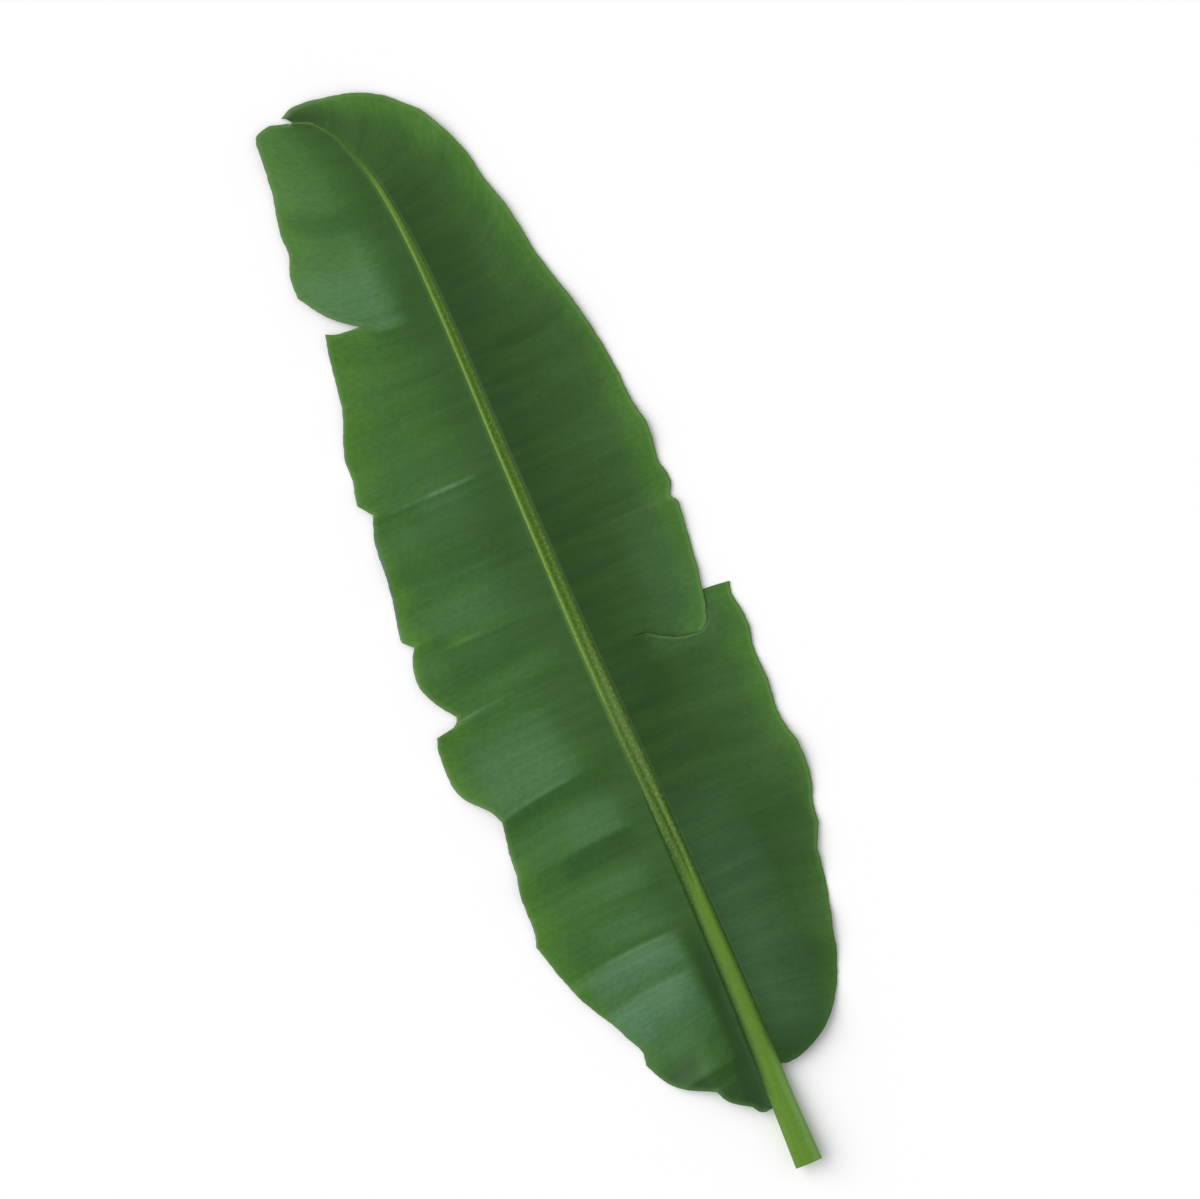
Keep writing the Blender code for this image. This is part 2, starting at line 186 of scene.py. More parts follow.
# Edge of the left half: station, x, y, lift of the edge
LEFT_EDGE = (
    (1.5, -22.4, 0.3, 0, BEND), (9, -28, 2.5, 0, SOFT), (20, -34, 11, 0, BEND),
    (36, -55, 26, 1, SOFT), (50, -63, 41, 2, BEND), (79, -99, 61, 2.5, SOFT),
    (105, -115, 82, 0, SOFT), (119, -122, 98, 0, BEND), (131, -120, 111, 0, SOFT),
    (152, -130, 136, 2, SOFT), (172, -140, 157, 4, SOFT), (196, -155, 183.5, 1, SOFT),
    (226, -167, 215, 2, SOFT), (272, -180, 262, 0, BEND), (284, -177, 274, 0, SOFT),
    (340, -173, 326.5, 5, SOFT), (356, -169, 342.5, 4, SOFT), (372, -168, 357.5, 1, SOFT),
    (418, -160, 403, 6, BEND), (434, -168.5, 419.5, 5, SOFT), (452, -186, 438.5, 2, SOFT),
    (496, -194.5, 485, 0, SOFT), (512, -192.4, 503.5, 3, SOFT), (522, -188, 514.5, 6, BEND),
    (526, -168, 517.5, 4, BEND), (530, -163, 521.5, 3, SOFT), (536, -160.7, 527.5, 2, BEND),
    (568, -182, 563, 5, SOFT), (583, -184.5, 579, 3, SOFT), (604, -180, 601, 0, SOFT),
    (617, -172.5, 614.5, 4, BEND), (626, -182.4, 624.5, 3, BEND), (634, -182, 631, 1, SOFT),
    (674, -173, 673.5, 0, SOFT), (705, -169, 704, 4, SOFT), (735, -166.5, 735, 1, SOFT),
    (765, -156, 764.5, 4, BEND), (780, -168, 780.5, 5, BEND), (807, -161.5, 808.5, 0, SOFT),
    (829, -160, 831.5, 0, SOFT), (873, -140.5, 885, 3, SOFT), (903, -134, 925, 0, SOFT),
    (934, -125.7, 965, 5, BEND), (939, -111.5, 959.5, 3, SOFT), (943, -87.3, 957.8, 1, BEND),
    (963, -112, 977, 4, SOFT), (993, -137, 1012.5, 2, BEND), (1016, -135.4, 1038, 0, SOFT),
    (1036, -127, 1060, 3, SOFT), (1054, -127, 1079, 2, SOFT), (1100, -117, 1129.5, 0, SOFT),
    (1130, -113.5, 1160, 3, SOFT), (1152, -111.7, 1185, 4, BEND), (1164, -107.5, 1192, 3, SOFT),
    (1180, -92, 1197, 2, SOFT), (1194, -81, 1194, 1, SOFT), (1204, -75, 1192.4, 0, SOFT),
    (1212, -71, 1191.2, 0, SOFT),
)

# Edge of the right half below the tear
FOOT_LOBE_EDGE = (
    (43.5, 20, 40, 0, SOFT), (56, 37, 42, 0, SOFT), (72, 65, 54.5, 1, SOFT), (88, 81, 66.7, 2, SOFT),
    (112, 101, 93, 0, SOFT), (136, 113.8, 120, 0, SOFT), (174, 125.7, 161, 3, SOFT),
    (213, 136.7, 202.5, 0, SOFT), (250, 143, 241, 4, BEND), (275, 155, 267, 3, SOFT),
    (296, 158.5, 288, 0, SOFT), (320, 167, 312.5, 1, SOFT), (354, 169.8, 347, 5, SOFT),
    (368, 169, 361, 4, SOFT), (381, 165, 374, 2, SOFT), (399, 163, 391.5, 0, SOFT),
    (440, 166.7, 432.5, 3, SOFT), (474, 166.3, 467, 0, SOFT), (506, 171.5, 504, 2, SOFT),
    (521, 167.2, 532, 1, BEND), (530, 171.4, 545, 0, BEND),
)

# Edge of the right half from the tear to the tip
TIP_LOBE_EDGE = (
    (530, 121, 507, 1.2, BEND), (533, 129, 512, 1.3, SOFT), (541, 134.5, 525, 1.6, SOFT),
    (556, 140, 546, 2.2, SOFT), (600, 148.5, 597, 0, SOFT), (645, 154.4, 644.5, 3, BEND),
    (650, 153.5, 650, 3, BEND), (655, 148.5, 655, 2, BEND), (665, 154.7, 666.5, 1, SOFT),
    (693, 152.7, 694.5, 0, SOFT), (738, 157, 740, 4, SOFT), (758, 153, 761, 3, SOFT),
    (808, 149.6, 815.5, 0, SOFT), (870, 138.5, 885.5, 4, SOFT), (926, 121.3, 952.5, 0, SOFT),
    (980, 110.4, 1020, 3, SOFT), (1008, 101, 1052.5, 1, SOFT), (1036, 94.6, 1087, 0, SOFT),
    (1064, 80, 1124.5, 3, SOFT), (1085, 67, 1149, 2, BEND), (1116, 34, 1180, 0, SOFT),
    (1140, 7, 1194, 2, SOFT), (1164, -17.5, 1200, 3, SOFT), (1194, -50, 1205.5, 1, SOFT),
    (1204, -64, 1205, 0, SOFT), (1212, -76, 1199, 0, SOFT),
)

# Folds across each half, which follow the veins: station, height
LEFT_FOLDS = (
    (1.5, 0, SOFT), (55, 0.3, BEND), (73, 2.6, BEND), (95, 0.8, SOFT), (122, 1, SOFT),
    (152, 4, SOFT), (178, 0.5, BEND), (192, 2.4, SOFT), (206, 4.5, SOFT), (222, 0.5, BEND),
    (252, 2.2, SOFT), (285, 3.4, SOFT), (320, 1, SOFT), (344, 3.2, BEND), (375, 1.2, SOFT),
    (398, 0.8, SOFT), (418, 5, BEND), (450, 3, SOFT), (490, 1.2, SOFT), (526, 0.5, BEND),
    (536, 1.6, BEND), (550, 0.5, SOFT), (590, 1.5, SOFT), (625, 0.5, SOFT), (665, 1.5, SOFT),
    (705, 3, SOFT), (735, 1, SOFT), (752, 0.5, BEND), (760, 1.8, BEND), (772, 0.5, SOFT),
    (807, 0.5, SOFT), (850, 1.5, SOFT), (903, 0.5, SOFT), (943, 2, SOFT), (993, 3.5, SOFT),
    (1036, 1, SOFT), (1100, 2.5, SOFT), (1164, 1, SOFT), (1212, 0, SOFT),
)
RIGHT_FOLDS = (
    (43.5, 0, SOFT), (88, 2, SOFT), (120, 0.5, SOFT), (160, 2.5, SOFT), (205, 0.5, SOFT), (240, 2, SOFT),
    (275, 0.5, SOFT), (310, 2.5, SOFT), (350, 1, SOFT), (399, 3, SOFT), (440, 0.5, SOFT), (480, 2, SOFT),
    (530, 0.8, SOFT), (575, 2.2, SOFT), (620, 2, SOFT), (655, 0.8, SOFT), (700, 2.5, SOFT),
    (758, 1, SOFT), (808, 2, SOFT), (870, 0.8, SOFT), (926, 2.2, SOFT), (980, 0.8, SOFT),
    (1036, 2, SOFT), (1085, 0.8, SOFT), (1140, 2, SOFT), (1212, 0, SOFT),
)

# Soft patches of colour: side, first and last station with how softly each fades, the same outwards,
# and how much wax bloom with painted sheen, painted shade and warm green each adds
PATCHES = (
    (LEFT, -20, 245, 10, 80, -9, 28, 16, 0, 0.85, 0),
    (LEFT, -20, 72, 10, 3, 5, 200, 20, 0, 0.5, 0),
    (LEFT, 30, 114, 10, 22, 50, 160, 25, 0, 0.6, 0),
    (LEFT, 98, 215, 34, 8, 18, 140, 16, 0.47, 0, 0),
    (LEFT, 130, 178, 22, 3, 28, 132, 12, 0.4, 0, 0),
    (LEFT, 124, 178, 16, 4, 80, 140, 14, 0.4, 0, 0),
    (LEFT, 184, 221, 14, 3, 22, 150, 14, 0.5, 0, 0),
    (LEFT, 222, 262, 2, 30, 30, 160, 20, 0, 0.1, 0),
    (LEFT, 225, 268, 15, 20, 12, 120, 30, 0.34, 0, 0),
    (LEFT, 268, 306, 20, 14, 20, 95, 25, 0.22, 0, 0),
    (LEFT, 300, 347, 22, 9, 15, 125, 25, 0, 0.42, 0),
    (LEFT, 341, 400, 12, 35, 20, 110, 30, 0.42, 0, 0),
    (LEFT, 392, 418, 18, 3, 45, 150, 30, 0, 0.22, 0),
    (LEFT, 418, 520, 3, 60, 45, 175, 40, 0.5, 0, 0),
    (LEFT, 545, 600, 20, 3, 30, 150, 30, 0, 0.26, 0),
    (LEFT, 600, 668, 20, 40, 30, 150, 35, 0.24, 0, 0),
    (LEFT, 650, 765, 25, 25, 5, 130, 30, 0, 0.2, 0),
    (LEFT, 725, 760, 22, 4, 40, 115, 25, 0.22, 0, 0),
    (LEFT, 775, 930, 40, 40, 20, 110, 40, 0, 0.05, 0.25),
    (LEFT, 941, 1040, 6, 50, 30, 150, 35, 0.68, 0, 0),
    (LEFT, 940, 1010, 3, 40, 25, 160, 40, 0.15, 0, 0.75),
    (LEFT, 930, 1080, 25, 40, 15, 80, 30, 0.15, 0, 0.15),
    (LEFT, 985, 1075, 25, 30, 30, 150, 30, 0.3, 0, 0.55),
    (LEFT, 1070, 1200, 30, 40, 5, 150, 60, 0.25, 0, 0.6),
    (RIGHT, 45, 420, 70, 160, -20, 90, 35, 0.28, 0, 0),
    (RIGHT, 20, 110, 10, 40, -5, 85, 30, 0, 0.6, 0),
    (RIGHT, 220, 340, 35, 50, 25, 160, 35, 0, 0.4, 0),
    (RIGHT, 420, 530, 60, 4, 0, 70, 40, 0, 0.3, 0),
    (RIGHT, 490, 530, 20, 4, 40, 150, 30, 0.2, 0, 0),
    (RIGHT, 530, 660, 4, 50, 60, 140, 30, 0.2, 0, 0),
    (RIGHT, 520, 1060, 40, 80, -20, 50, 40, 0, 0.22, 0),
    (RIGHT, 890, 1205, 60, 45, 30, 150, 50, 0.08, 0, 0.32),
    (RIGHT, 1060, 1200, 50, 45, -20, 80, 20, 0.05, 0, 0.25),
    (RIGHT, 522, 529, 5, 3, 50, 150, 30, 0.35, 0, 0),
)

# Yellow-green margin: station, width, strength
LEFT_MARGIN = (
    (0, 10, 0.1, SOFT), (105, 14, 0.2, SOFT), (128, 28, 0.9, SOFT), (180, 24, 0.8, SOFT),
    (230, 34, 0.8, SOFT), (300, 42, 1.15, SOFT), (350, 30, 0.8, SOFT), (410, 14, 0.2, SOFT),
    (470, 32, 1.1, SOFT), (518, 26, 1.1, SOFT), (550, 14, 0.6, SOFT), (575, 16, 0.7, SOFT),
    (615, 26, 1.3, SOFT), (690, 26, 1.3, SOFT), (750, 18, 0.5, SOFT), (790, 42, 0.9, SOFT),
    (860, 55, 1, SOFT), (930, 45, 0.9, SOFT), (942, 20, 0.9, SOFT), (946, 8, 0.3, SOFT),
    (990, 38, 1.15, SOFT), (1060, 32, 1.1, SOFT), (1150, 30, 0.5, SOFT), (1212, 10, 0.2, SOFT),
)
RIGHT_MARGIN = (
    (40, 12, 0.2, SOFT), (130, 24, 0.3, SOFT), (250, 22, 0.4, SOFT), (330, 26, 0.6, SOFT),
    (420, 36, 0.8, SOFT), (500, 38, 0.9, SOFT), (560, 34, 0.8, SOFT), (640, 40, 0.8, SOFT),
    (760, 42, 1, SOFT), (850, 26, 0.7, SOFT), (940, 30, 0.8, SOFT), (1060, 34, 0.9, SOFT),
    (1120, 38, 0.9, SOFT), (1180, 24, 0.6, SOFT), (1212, 10, 0.3, SOFT),
)

# Thin pale creases along a vein, painted as the highlight on each crease's ridge: side, station, where each
# starts and ends going out, strength
CREASES = (
    (LEFT, 529, 118, 172, 0.5), (LEFT, 529, 80, 140, 0.22), (LEFT, 759, 24, 90, 0.6),
    (LEFT, 759, 45, 135, 0.3), (LEFT, 419, 60, 160, 0.35), (LEFT, 602, 78, 112, 0.17),
    (LEFT, 77, 30, 75, 0.1), (LEFT, 220, 25, 110, 0.3), (RIGHT, 655, 60, 130, 0.08),
    (RIGHT, 306, 60, 140, 0.05),
)

# Small spots: side, station, distance out, half size, strength
SPOTS = ((LEFT, 603, 118, 6, 1.0), (LEFT, 601, 106, 3, 0.6))

# How patches and the margin wander: height, length, stretch, seed, and what sets both halves apart
PATCH_WANDER = (6, 60, 3, 21)
MARGIN_WANDER = (0.25, 40, 3, 22)
COLOUR_SHIFT = 300

# How much longer a spot is outwards, how wide creases are and how softly they end
SPOT_STRETCH = 1.6
CREASE_WIDTH = 1.6
CREASE_FADE = 25

# Painted light strip on the lower lobe beside the torn lobe, which offsets the shadow of its edge: its
# width, how many rows of the lobe's side it follows, and how far out it starts and how softly
LAP_WIDTH = 2.1
LAP_ROWS = 60
LAP_START = 30
LAP_GROWTH = 40


def along(keys, t):
    """Values at stations t of a smooth curve through the keys, which turns sharply at each BEND.

    Between two keys it is a cubic whose slopes at both ends are those of the parabola through each
    key and its neighbours, or of the straight line to the next key at a BEND.
    """
    keys = np.array(keys, float)
    at, values, bend = keys[:, 0], keys[:, 1:-1], keys[:, -1:] == BEND
    span = np.diff(at)[:, None]
    slope = np.diff(values, axis=0) / span
    before = np.vstack([slope[:1], slope])
    after = np.vstack([slope, slope[-1:]])
    near = np.vstack([span[:1], span])
    far = np.vstack([span, span[-1:]])
    through = (before * far + after * near) / (near + far)
    arrive = np.where(bend, before, through)
    leave = np.where(bend, after, through)
    i = np.clip(np.searchsorted(at, t, side="right") - 1, 0, len(at) - 2)
    f = ((t - at[i])[:, None]) / span[i]
    rise = f * f * (3 - 2 * f)
    start = values[i] * (1 - rise) + values[i + 1] * rise
    return start + span[i] * (leave[i] * f * (1 - f) ** 2 - arrive[i + 1] * f * f * (1 - f))


def ease(x):
    """Rises smoothly from 0 to 1 as x does: 3x squared less 2x cubed."""
    x = np.clip(x, 0, 1)
    return x * x * (3 - 2 * x)


def ripple(x, y, length, stretch, seed):
    """Soft noise about one high: seven sine waves of about the given length along x, stretched along y."""
    draw = np.random.default_rng(seed)
    total = 0
    for _ in range(7):
        turn = 2 * math.pi / (length * draw.uniform(0.6, 1.6))
        tilt = turn / stretch * draw.uniform(-1, 1)
        total = total + np.sin(turn * x + tilt * y + draw.uniform(0, 2 * math.pi))
    return total / 3.5


def rows_between(step, first, last, *key_lists):
    """Stations from first to last: those of the keys, with others between, no further apart than step."""
    wanted = sorted({k[0] for keys in key_lists for k in keys if first < k[0] < last})
    rows = [first]
    for t in wanted + [last]:
        parts = math.ceil((t - rows[-1]) / step)
        rows += [rows[-1] + (t - rows[-1]) * k / parts for k in range(1, parts)] + [t]
    return np.array(rows, float)


def rib_frame(t):
    """Centre of the midrib at stations t, and the direction across it to the right."""
    centre = along(RIB_LINE, t)
    ahead = along(RIB_LINE, t + 1) - along(RIB_LINE, t - 1)
    ahead /= np.linalg.norm(ahead, axis=1, keepdims=True)
    return centre, np.stack([ahead[:, 1], -ahead[:, 0]], axis=1)


def rungs(t, side, edge_keys):
    """Plan of one half at stations t: points from the midrib out along each vein.

    Each vein leaves the midrib square to it for INNER_REACH, then bends as a parabola to its place
    on the edge. Near the tip and near the stalk the veins run almost straight to the edge. The edge
    wavers by a fraction of a millimetre.
    Returns the points, how far out each is, its share of the outer stretch, and the edge's lift.
    """
    centre, across = rib_frame(t)
    edge = along(edge_keys, t)
    half = np.maximum(along(RIB_SIZE, t)[:, 0] - ROOT_SUNK, 0)
    half = half * np.clip((RIB_END - t) / ROOT_CLOSE, 0, 1)
    root = centre + side * across * half[:, None]
    chord = edge[:, :2] - root
    reach = np.linalg.norm(chord, axis=1, keepdims=True)
    by_tip = TIP_SHARE * ease((t - STRAIGHT_BY_TIP[0]) / (STRAIGHT_BY_TIP[1] - STRAIGHT_BY_TIP[0]))
    by_stalk = (STRAIGHT_BY_STALK[1] - t) / (STRAIGHT_BY_STALK[1] - STRAIGHT_BY_STALK[0])
    turn = (by_tip + STALK_SHARE * ease(by_stalk))[:, None]
    out = (1 - turn) * side * across + turn * chord / reach
    out /= np.linalg.norm(out, axis=1, keepdims=True)
    waver = sum(high * ripple(t, 0, length, EDGE_WAVE_STRETCH, seed) for high, length, seed in EDGE_WAVES)
    tip = edge[:, :2] + out * (waver * ease(reach[:, 0] / EDGE_WAVE_REACH))[:, None]
    inner = np.minimum(INNER_REACH, INNER_SHARE * reach)
    middle = root + out * inner
    bend = middle + out * 0.5 * np.linalg.norm(edge[:, :2] - middle, axis=1, keepdims=True)
    w = OUTER_COLUMNS[None, :, None]
    near = root[:, None] + (middle - root)[:, None] * INNER_COLUMNS[None, :, None]
    far = (1 - w) ** 2 * middle[:, None] + 2 * w * (1 - w) * bend[:, None] + w * w * tip[:, None]
    plan = np.concatenate([near, far], axis=1)
    distance = np.linalg.norm(plan - root[:, None], axis=2)
    outward = np.concatenate([np.zeros(len(INNER_COLUMNS)), OUTER_COLUMNS])
    return plan, distance, np.broadcast_to(outward, distance.shape), edge[:, 2:3]


def half_surface(t, side, edge_keys, fold_keys):
    """Middle surface of one half of the blade, as rows of points, with its station and distance out.

    It droops from the midrib to the floor as a parabola, with folds that grow outwards along the
    veins, an edge that lifts and dips in slow waves, and a fine ripple along the veins. Near the
    stalk it first rises from the midrib, as a squared sine.
    """
    plan, distance, outward, edge_lift = rungs(t, side, edge_keys)
    size = along(RIB_SIZE, t)
    root_height = (ATTACH * size[:, 1] - BLADE_FLOOR)[:, None]
    droop = root_height * np.clip(1 - distance / DROOP_REACH, 0, 1) ** 2
    fold = along(fold_keys, t) * ease(distance / FOLD_REACH)
    lift = edge_lift * outward ** LIFT_POWER
    keel = size[:, 2:3] * (1 - KEEL_FADE * outward ** 2)
    station = np.broadcast_to(t[:, None], distance.shape)
    shift = RIPPLE_SHIFT * side
    fine = sum(high * ripple(station, distance + shift, length, stretch, seed)
               for high, length, stretch, seed in RIPPLES)
    fine = fine * ease(distance / RIPPLE_REACH) * (1 - RIGHT_CALM * (side == RIGHT))
    by_stalk = 1 - ease((t - GROOVE_FADE[0]) / (GROOVE_FADE[1] - GROOVE_FADE[0]))[:, None]
    shoulder = GROOVE_RISE * by_stalk * np.sin(math.pi * np.clip(distance / GROOVE_REACH, 0, 1)) ** 2
    z = BLADE_FLOOR + droop + fold + lift + keel + shoulder + fine
    z = np.maximum(z, LOWEST)
    return np.concatenate([plan, z[:, :, None]], axis=2), station, distance, outward


def seam_rows():
    """Stations past the end of the midrib, where the two halves share their inner points."""
    return np.linspace(RIB_END, RIB_LINE[-1][0], SEAM_ROWS)


def edge_distance(points, border):
    """Distance in plan from every point to the nearest point of a dense border line."""
    flat = points[:, :, :2].reshape(-1, 2)
    nearest = np.full(len(flat), 1e9)
    for part in np.array_split(border, 40):
        gap = flat[:, None] - part[None]
        nearest = np.minimum(nearest, np.sqrt((gap ** 2).sum(axis=2)).min(axis=1))
    return nearest.reshape(points.shape[:2])


def patch(surface, side, border):
    """One sheet of the blade with what its material reads: a dictionary of arrays over its points."""
    points, station, distance = surface
    edge = edge_distance(points, border)
    bloom_and_sheen, painted_shade, warm = colours_over(station, distance, edge, side)
    return {"points": points, "flip": side == LEFT, "station": station, "out": distance, "edge": edge,
            "side": np.full(station.shape, float(side)), "bloom_and_sheen": bloom_and_sheen, "painted_shade": painted_shade, "warm": warm,
            "crease_highlight": crease_highlight_over(station, distance, side)}


def colours_over(station, distance, edge, side):
    """Wax bloom with painted sheen, painted shade and warm green over one half: sums of soft patches, a
    warm margin and spots.
    """
    totals = np.zeros((3,) + station.shape)
    shift = COLOUR_SHIFT * side
    high, *wave = PATCH_WANDER
    wander = high * ripple(distance, station + shift, *wave)
    for at_side, first, last, soft_first, soft_last, near, far, soft_out, *amounts in PATCHES:
        if at_side == side:
            lengthways = ease((station - first) / soft_first) * ease((last - station) / soft_last)
            out = distance + wander
            sideways = ease((out - near) / soft_out) * ease((far - out) / soft_out)
            totals += np.array(amounts)[:, None, None] * lengthways * sideways
    width, strength = along(LEFT_MARGIN if side == LEFT else RIGHT_MARGIN, station.reshape(-1)).T
    high, *wave = MARGIN_WANDER
    wavy = 1 + high * ripple(station, distance + shift, *wave)
    width = width.reshape(station.shape) * wavy
    margin = strength.reshape(station.shape) * (1 - ease(edge / width))
    spots = 0
    for at_side, at, out, size, shine in SPOTS:
        if at_side == side:
            outward = (distance - out) / (SPOT_STRETCH * size)
            spots = spots + shine * np.exp(-((station - at) / size) ** 2 - outward ** 2)
    return totals[0], totals[1], totals[2] + margin + spots


def crease_highlight_over(station, distance, side):
    """Strength of the painted highlight along the creases: narrow bells along t, faded at both ends."""
    total = np.zeros(station.shape)
    for at_side, at, start, end, strength in CREASES:
        if at_side == side:
            along_it = ease((distance - start) / CREASE_FADE) * ease((end - distance) / CREASE_FADE + 0.5)
            total += strength * along_it * np.exp(-((station - at) / CREASE_WIDTH) ** 2)
    return total


def painted_lap_light(lower, upper):
    """Strength of the painted light strip on the lower lobe, which offsets the shadow of the lobe over it:
    a bell beside that lobe's outline.
    """
    torn = upper["points"][0, :, :2]
    side = upper["points"][:LAP_ROWS, -1, :2]
    line = np.concatenate([torn, side])
    steps = np.linspace(0, 1, 6)[:-1, None, None]
    border = ((1 - steps) * line[None, :-1] + steps * line[None, 1:]).reshape(-1, 2)
    parted = ease((lower["out"] - LAP_START) / LAP_GROWTH)
    return parted * np.exp(-(edge_distance(lower["points"], border) / LAP_WIDTH) ** 2)


def left_half():
    """Left half from the foot to the tip, with its notches and the deep tear in its edge."""
    t = rows_between(ROW_STEP, LEFT_EDGE[0][0], LEFT_EDGE[-1][0], LEFT_EDGE, LEFT_FOLDS)
    t = np.append(t[t < RIB_END - 1], seam_rows())
    points, station, distance, _ = half_surface(t, LEFT, LEFT_EDGE, LEFT_FOLDS)
    return patch((points, station, distance), LEFT, points[:, -1, :2])


def foot_lobe():
    """Right half below the tear, where it sinks and its torn edge bows under the other lobe."""
    t = rows_between(ROW_STEP, FOOT_LOBE_EDGE[0][0], TEAR, FOOT_LOBE_EDGE, RIGHT_FOLDS)
    points, station, distance, outward = half_surface(t, RIGHT, FOOT_LOBE_EDGE, RIGHT_FOLDS)
    opening = ease(outward / TEAR_START)
    back = (TEAR - t)[:, None]
    points[:, :, 2] -= (points[:, :, 2] - BLADE_FLOOR) * opening * TEAR_SINK * np.exp(-back / SINK_FADE)
    bow = np.sin(math.pi * np.clip((outward - TEAR_START) / (1 - TEAR_START), 0, 1))
    points[:, :, 1] += (TEAR_BOW * bow - TEAR_SLIT * opening) * np.exp(-back / BOW_FADE)
    return patch((points, station, distance), RIGHT, points[:, -1, :2])


def tip_lobe():
    """Right half from the tear to the tip: it rises over the other lobe at the tear."""
    t = rows_between(ROW_STEP, TEAR, TIP_LOBE_EDGE[-1][0], TIP_LOBE_EDGE, RIGHT_FOLDS)
    t = np.append(t[t < RIB_END - 1], seam_rows())
    points, station, distance, outward = half_surface(t, RIGHT, TIP_LOBE_EDGE, RIGHT_FOLDS)
    onward = (t - TEAR)[:, None]
    points[:, :, 2] += TEAR_RISE * ease(outward / TEAR_START) * np.exp(-onward / RISE_FADE)
    bow = np.sin(math.pi * np.clip((outward - TEAR_START) / (1 - TEAR_START), 0, 1))
    points[:, :, 1] -= TEAR_HANG * bow * np.exp(-onward / HANG_FADE)
    return patch((points, station, distance), RIGHT, points[:, -1, :2])


def grid_triangles(points, first, flip):
    """Triangles over rows of points, split along the shorter diagonal of each cell."""
    rows, columns = points.shape[:2]
    index = first + np.arange(rows * columns).reshape(rows, columns)
    a, b, c, d = index[:-1, :-1], index[:-1, 1:], index[1:, 1:], index[1:, :-1]
    across_ac = np.linalg.norm(points[:-1, :-1] - points[1:, 1:], axis=2)
    across_bd = np.linalg.norm(points[:-1, 1:] - points[1:, :-1], axis=2)
    use_ac = (across_ac <= across_bd)[:, :, None]
    one = np.where(use_ac, np.stack([a, b, c], axis=2), np.stack([a, b, d], axis=2))
    two = np.where(use_ac, np.stack([a, c, d], axis=2), np.stack([b, c, d], axis=2))
    faces = np.concatenate([one, two]).reshape(-1, 3)
    return faces[:, ::-1] if flip else faces


def placed(points):
    """Points in metres, with the leaf's box centred over the origin."""
    return (points.reshape(-1, 3) + [FOOT[0], FOOT[1], 0]) * MM


def welded(vertices, faces, values):
    """Vertices that share a place become one, with their faces and values; empty cells are dropped."""
    keys = np.round(vertices * 1e6).astype(np.int64)
    _, kept, moved = np.unique(keys, axis=0, return_index=True, return_inverse=True)
    faces = moved.reshape(-1)[faces]
    whole = (faces[:, 0] != faces[:, 1]) & (faces[:, 1] != faces[:, 2]) & (faces[:, 2] != faces[:, 0])
    return vertices[kept], faces[whole], {name: value[kept] for name, value in values.items()}


def add_piece(name, vertices, faces, values, finishes, slots=None):
    """A mesh object with per-point float attributes and its materials; slots picks one for each face."""
    mesh = bpy.data.meshes.new(name)
    mesh.from_pydata(vertices.tolist(), [], faces.tolist())
    for label, value in values.items():
        mesh.attributes.new(label, "FLOAT", "POINT").data.foreach_set("value", value.astype(np.float32))
    for finish in finishes:
        mesh.materials.append(finish)
    if slots is not None:
        mesh.polygons.foreach_set("material_index", slots.astype(np.int32))
    mesh.shade_smooth()
    piece = bpy.data.objects.new(name, mesh)
    bpy.context.scene.collection.objects.link(piece)
    return piece


def make_blade():
    """The whole blade as one sheet, with the thickness of a leaf from Solidify."""
    patches = [left_half(), foot_lobe(), tip_lobe()]
    for one in patches:
        one["lap_light"] = np.zeros(one["station"].shape)
    patches[1]["lap_light"] = painted_lap_light(patches[1], patches[2])
    names = ("station", "out", "edge", "side", "bloom_and_sheen", "painted_shade", "warm", "crease_highlight", "lap_light")
    vertices, faces, first = [], [], 0
    for one in patches:
        vertices.append(placed(one["points"]))
        faces.append(grid_triangles(one["points"], first, one["flip"]))
        first += len(vertices[-1])
    values = {name: np.concatenate([one[name].reshape(-1) for one in patches]) for name in names}
    vertices, faces, values = welded(np.concatenate(vertices), np.concatenate(faces), values)
    finishes = [leaf_upper(), leaf_under(), leaf_rim()]
    blade = add_piece("leaf_blade_fine", vertices, faces, values, finishes)
    wall = blade.modifiers.new("thickness", "SOLIDIFY")
    wall.thickness = BLADE_THICK * MM
    wall.offset = 0
    wall.material_offset = 1
    wall.material_offset_rim = 2
    return blade


def rib_section(t, over, under):
    """Closed outline of the midrib at each station: over the top from left to right, and back below.

    The top is a low crown less a bell-shaped channel, which closes to a slit towards the stalk. The
    underside is a round keel with a narrow flat along its lowest line.
    """
    centre, across = rib_frame(t)
    half, depth, keel = along(RIB_SIZE, t).T[:, :, None]
    channel, middle, width = along(CHANNEL, t).T[:, :, None]
    over, under = over[None, :], under[None, :]
    crown = depth * (1 - CROWN + CROWN * (1 - over ** 2) - SHOULDER_DROP * np.abs(over) ** SHOULDER_POWER)
    top = crown - channel * np.exp(-((over - middle) / width) ** 2)
    rounded = np.clip((np.abs(under) - KEEL_FLAT) / (1 - KEEL_FLAT), 0, 1)
    bottom = depth * SIDE_LOW * rounded ** KEEL_POWER
    v = np.concatenate([np.broadcast_to(over, top.shape), np.broadcast_to(under, bottom.shape)], axis=1)
    z = np.concatenate([top, bottom], axis=1) + keel
    plan = centre[:, None] + across[:, None] * (half * v)[:, :, None]
    return np.concatenate([plan, z[:, :, None]], axis=2), v


